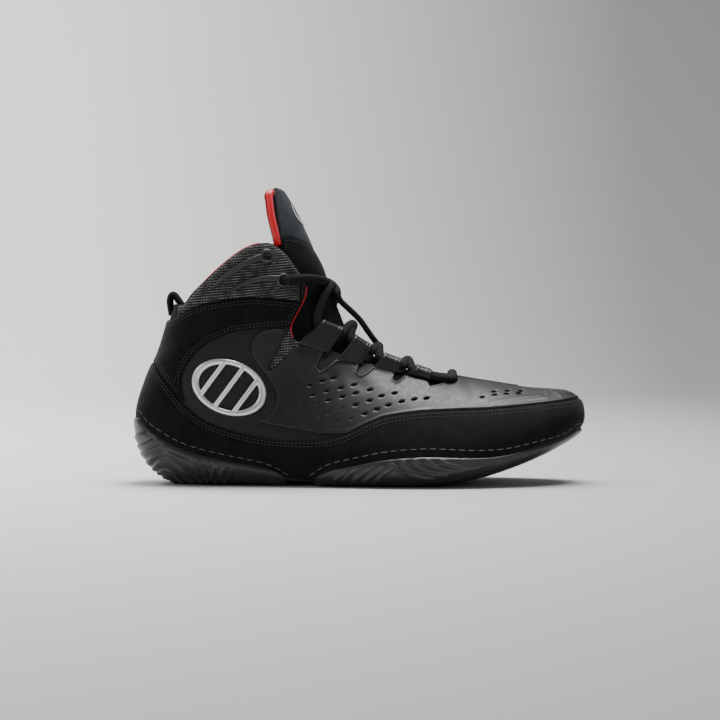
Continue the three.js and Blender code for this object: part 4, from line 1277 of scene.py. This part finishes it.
# %% Outsole
RING_CENTRES = side([(0.077, -0.014), (0.132, -0.012)])
RING_REACH, RING_PITCH = (0.037, 0.020), 5.2 * MM
RIBS = [
    [(0.463, 0.012), (0.482, 0.039), (0.504, 0.056)],
    [(0.482, 0.005), (0.504, 0.032), (0.530, 0.059)],
    [(0.504, 0.005), (0.530, 0.032), (0.551, 0.059)],
    [(0.530, 0.005), (0.556, 0.039), (0.577, 0.059)],
    [(0.569, 0.070), (0.590, 0.045), (0.629, 0.025), (0.660, 0.020)],
    [(0.593, 0.077), (0.615, 0.050), (0.655, 0.034), (0.690, 0.032)],
    [(0.618, 0.079), (0.642, 0.055), (0.685, 0.042), (0.720, 0.044)],
    [(0.645, 0.080), (0.672, 0.060), (0.715, 0.050), (0.755, 0.055)],
    [(0.675, 0.080), (0.705, 0.064), (0.750, 0.060), (0.790, 0.068)],
    [(0.166, 0.003), (0.177, 0.027), (0.181, 0.050)], [(0.183, 0.000), (0.196, 0.024), (0.201, 0.046)],
    [(0.201, 0.000), (0.214, 0.020), (0.220, 0.042)], [(0.440, 0.005), (0.455, 0.024), (0.470, 0.040)]]
rib_lines = [curve(p) for p in RIBS]


def sole_height(d, x, z, y, T, A):
    swell = 0.9 * MM * np.sin(x / (3.4 * MM)) + 0.6 * MM * np.sin(z / (2.6 * MM))
    deep = np.maximum(*[reach - np.hypot(x - c[0], z - c[1])
                        for c, reach in zip(RING_CENTRES, RING_REACH)])
    level = np.clip((deep + swell) / RING_PITCH, 0, None)
    part = level % 1
    steps = (0.15 * np.floor(level) + np.clip(part / 0.2, 0, 1)
             - 0.85 * np.clip((part - 0.4) / 0.6, 0, 1))
    steps = np.where(deep + swell > 0, steps, 0)
    ribs = sum(np.exp(-(off_line(line, x, z) / (1.0 * MM)) ** 2) for line in rib_lines)
    relief = 1.1 * MM * steps + 1.0 * MM * np.clip(ribs, 0, 1)
    inner = np.clip((d - 0.5 * MM) / (3 * MM), 0, 1)
    return rolled(d, 0.9 * MM, RUBBER, 2.6 * MM) + relief * inner


def to_floor(p):
    """Nothing below the floor."""
    p[:, 2] = np.maximum(p[:, 2], 0)
    return p


SOLE_SIDES = {"drop": DROP, "foot": 0.6 * MM, "place": to_floor, "a_range": AROUND, "at": RUBBER}


def heel_field(x, z, *_):
    return inside(HEEL_LINE, x, z - DROP)


def fore_field(x, z, *_):
    return inside(FORE_LINE, x, z - DROP)


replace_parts(panel("heel_unit", heel_field, sole_height, rubber, t_range=(9, 16), cell=0.6 * MM,
                  **SOLE_SIDES), "outsole")
panel("forefoot_unit", fore_field, sole_height, rubber, t_range=(-0.97, 11), cell=0.75 * MM,
      **SOLE_SIDES)
# The bridge under the arch: from and to along the shoe, half width and top
BRIDGE_FROM, BRIDGE_TO = side([(0.325, 0), (0.415, 0)])[:, 0]
BRIDGE_HALF, BRIDGE_TOP = 0.028, 0.014


def bridge_field(x, z, y, T, A):
    return np.minimum(np.minimum(x - BRIDGE_FROM, BRIDGE_TO - x),
                      np.minimum(BRIDGE_HALF - np.abs(y), BRIDGE_TOP - z))


panel("sole_bridge", bridge_field, lambda d, *_: np.full_like(d, 2.4 * MM), rubber,
      t_range=(8, 12), foot=1.0 * MM, a_range=AROUND)

# %% [markdown]
# ## Stitches
# A seam is a row of short thread bars, one on each point of its path. Geometry nodes place the
# bars, so that length and thickness are set once for each seam.


# %% Stitches
def stitch_tree():
    """A bar on each point, along the seam and flat on the skin."""
    tree = bpy.data.node_groups.new("stitch row", "GeometryNodeTree")
    face = tree.interface
    face.new_socket("Geometry", in_out="INPUT", socket_type="NodeSocketGeometry")
    for name in ("Length", "Thickness"):
        face.new_socket(name, in_out="INPUT", socket_type="NodeSocketFloat")
    face.new_socket("Thread", in_out="INPUT", socket_type="NodeSocketMaterial")
    face.new_socket("Geometry", in_out="OUTPUT", socket_type="NodeSocketGeometry")
    start, end = tree.nodes.new("NodeGroupInput"), tree.nodes.new("NodeGroupOutput")
    bar = node(tree, "GeometryNodeMeshIcoSphere", {"Radius": 1.0, "Subdivisions": 2})
    size = node(tree, "ShaderNodeCombineXYZ", {"X": start.outputs["Length"],
                "Y": start.outputs["Thickness"], "Z": start.outputs["Thickness"]})
    turn = None
    for name, axis, pivot in (("along", "X", "AUTO"), ("up", "Z", "X")):
        value = node(tree, "GeometryNodeInputNamedAttribute", {"Name": name},
                     data_type="FLOAT_VECTOR")
        inputs = {"Vector": value.outputs["Attribute"]}
        if turn:
            inputs["Rotation"] = turn
        turn = node(tree, "FunctionNodeAlignRotationToVector", inputs, axis=axis,
                    pivot_axis=pivot).outputs[0]
    rows = node(tree, "GeometryNodeInstanceOnPoints", {"Points": start.outputs["Geometry"],
                "Instance": bar.outputs["Mesh"], "Rotation": turn, "Scale": size.outputs["Vector"]})
    real = node(tree, "GeometryNodeRealizeInstances", {"Geometry": rows.outputs["Instances"]})
    done = node(tree, "GeometryNodeSetMaterial", {"Geometry": real.outputs["Geometry"],
                "Material": start.outputs["Thread"]})
    tree.links.new(done.outputs["Geometry"], end.inputs["Geometry"])
    return tree


STITCH = stitch_tree()


def stitches(name, runs, pitch, length, thick, thread):
    """A row of thread bars along each run. Pitch, length and thickness are in mm."""
    points, along, up = [], [], []
    for p, n in runs:
        both = resampled(np.concatenate([p, n], 1), pitch * MM)
        if len(both) < 4:
            continue
        points.append(both[:, :3])
        up.append(both[:, 3:])
        along.append(np.gradient(both[:, :3], axis=0))
    points, along, up = map(np.concatenate, (points, along, up))
    mesh = bpy.data.meshes.new(name)
    mesh.from_pydata(points.tolist(), [], [])
    for key, value in (("along", along), ("up", up)):
        value = value / np.linalg.norm(value, axis=1, keepdims=True)
        mesh.attributes.new(key, "FLOAT_VECTOR", "POINT").data.foreach_set("vector", value.ravel())
    source = bpy.data.objects.new(name + "_points", mesh)
    scene.collection.objects.link(source)
    live = source.modifiers.new("stitches", "NODES")
    live.node_group = STITCH
    values = {"Length": length * MM / 2, "Thickness": thick * MM / 2, "Thread": thread}
    for item in STITCH.interface.items_tree:
        if item.in_out == "INPUT" and item.name in values:
            live[item.identifier] = values[item.name]
    bpy.context.view_layer.update()
    seen = source.evaluated_get(bpy.context.evaluated_depsgraph_get())
    made = bpy.data.meshes.new_from_object(seen)
    made.name = name
    made.polygons.foreach_set("use_smooth", np.ones(len(made.polygons), bool))
    bpy.data.objects.remove(source)
    obj = bpy.data.objects.new(name, made)
    scene.collection.objects.link(obj)
    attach(obj, BODY)
    print(name, len(points), "stitches")


def seam(name, field, offset, t_range, a_range, insets, at, sizes, thread, keep=None):
    """Stitches along the edge of a panel, one row for each distance from that edge."""
    stitches(name, [run for inset in insets for run in edge_runs(
        field, offset, t_range, a_range, keep, inset, at)], *sizes, thread)


def above_rubber(x, z, y, T, A):
    return -np.maximum(heel_field(x, z), fore_field(x, z))


print("tools for seams")

# %% [markdown]
# ### Seams
# The rand and the ankle panel are sewn with two rows, the others with one. The seam of the
# sole has long grey stitches.

# %% Seams
seam("rand_seam", rand_field, RAND + 0.05 * MM, (-0.9, 16), AROUND, (1.9 * MM, 3.6 * MM), RAND,
     (2.4, 1.6, 0.42), dark_thread)
seam("sole_seam", above_rubber, RAND + 0.1 * MM, (-0.8, 16), AROUND, (2.9 * MM,), RAND,
     (6.0, 4.6, 0.42), grey_thread, within(0.008))
seam("panel_seam", panel_field, PANEL + 0.05 * MM, (9, TOP_ROW), AROUND, (1.8 * MM, 3.4 * MM),
     PANEL, (2.3, 1.5, 0.42), dark_thread, within(0.052, front=-0.036))
seam("vamp_seam", vamp_plain, VAMP + 0.35 * MM, (5.5, 14), (-1.8, 1.8), (1.0 * MM,), HOLES_AT,
     (1.9, 1.3, 0.45), edge_thread, within(0.0625, back=-0.045))
seam("tongue_seam", tongue_low, TONGUE_OUT + 0.6 * MM, (12, TOP_ROW), (-2.0, 2.0), (2.2 * MM,),
     TONGUE_AT, (2.2, 1.4, 0.4), dark_thread, within(0.140))
TOE_ROWS, TOE_LEAN = np.linspace(6.1, 4.25, 40), 0.035


def toe_line(lean, offset):
    """A line over the toe beside the ridge, with its normals."""
    turns = np.full(len(TOE_ROWS), lean)
    return skin(TOE_ROWS, turns, np.full(len(TOE_ROWS), offset)), last_normal(TOE_ROWS, turns)


toe_lines = [toe_line(lean, VAMP + 0.15 * MM) for lean in (-TOE_LEAN, TOE_LEAN)]
stitches("toe_seam", toe_lines, 2.2, 1.5, 0.45, edge_thread)
tube("toe_welt", toe_line(0.0, VAMP)[0], 0.6 * MM, leather, sides=10)

# %% [markdown]
# ## Floor, backdrop and light
# A pale sweep whose colour carries painted light falling off from the left to the right, under soft
# studio light from above and the left.


# %% Floor and light
def studio(name, verts, faces, colour):
    """A matt piece of the studio, not of the shoe."""
    mesh = bpy.data.meshes.new(name)
    mesh.from_pydata(verts, [], faces)
    mesh.polygons.foreach_set("use_smooth", [True] * len(mesh.polygons))
    material, tree, shader = finish(name, colour, 0.85)
    mesh.materials.append(material)
    obj = bpy.data.objects.new(name, mesh)
    scene.collection.objects.link(obj)
    return tree, shader


# Front edge of the floor, where it starts to rise, the radius of the bend, and the top and
# half width of the backdrop
FRONT, RISE, BEND, TOP, HALF = -1.4, 1.2, 0.8, 3.0, 3.0
profile = [(FRONT, 0.0), (0.0, 0.0), (RISE, 0.0)] + [
    (RISE + BEND * math.sin(a), BEND - BEND * math.cos(a)) for a in np.linspace(0.2, math.pi / 2, 8)]
profile += [(RISE + BEND, TOP)]
verts = [(x, y, z) for y, z in profile for x in (-HALF, HALF)]
faces = [(2 * i, 2 * i + 1, 2 * i + 3, 2 * i + 2) for i in range(len(profile) - 1)]
tree, shader = studio("studio sweep", verts, faces, "#d4d4d0")
# The sweep's colour goes from bright at the left to dark at the right over this half width in metres:
# painted light falloff.
FALLOFF_HALF = 0.35
place = node(tree, "ShaderNodeTexCoord").outputs["Object"]
split = node(tree, "ShaderNodeSeparateXYZ", {"Vector": place})
painted_falloff = mapped(tree, split.outputs["X"], -FALLOFF_HALF, FALLOFF_HALF, 0.0, 1.0)
link(tree, tone(tree, painted_falloff, "#e4e4e0", "#8e8e8d"), shader, "Base Color")


def softbox(name, place, target, size, power):
    """A rectangular light that looks at a target. Power is in watts."""
    light = bpy.data.lights.new(name, "AREA")
    light.shape, light.size, light.size_y, light.energy = "RECTANGLE", size[0], size[1], power
    obj = bpy.data.objects.new(name, light)
    obj.location = place
    obj.rotation_euler = (Vector(target) - Vector(place)).to_track_quat("-Z", "Y").to_euler()
    scene.collection.objects.link(obj)


SOFTBOXES = [
    ("top softbox", (0.15, 0.15, 1.3), (0.02, 0, 0.05), (0.9, 0.6), 36),
    ("left softbox", (-1.3, -1.0, 0.8), (0, 0, 0.08), (0.7, 0.8), 6),
    ("front fill", (1.0, -1.6, 0.6), (0, 0, 0.08), (0.9, 0.7), 2.5),
    ("backdrop light", (-1.2, 0.9, 1.6), (-0.4, 2.0, 0.4), (1.2, 1.2), 42)]
for box in SOFTBOXES:
    softbox(*box)
ROOM, ROOM_STRENGTH = "#c8c8c6", 0.36
world = bpy.data.worlds.new("studio")
scene.world = world
world.use_nodes = True
background = world.node_tree.nodes["Background"]
background.inputs["Color"].default_value = rgb(ROOM)
background.inputs["Strength"].default_value = ROOM_STRENGTH
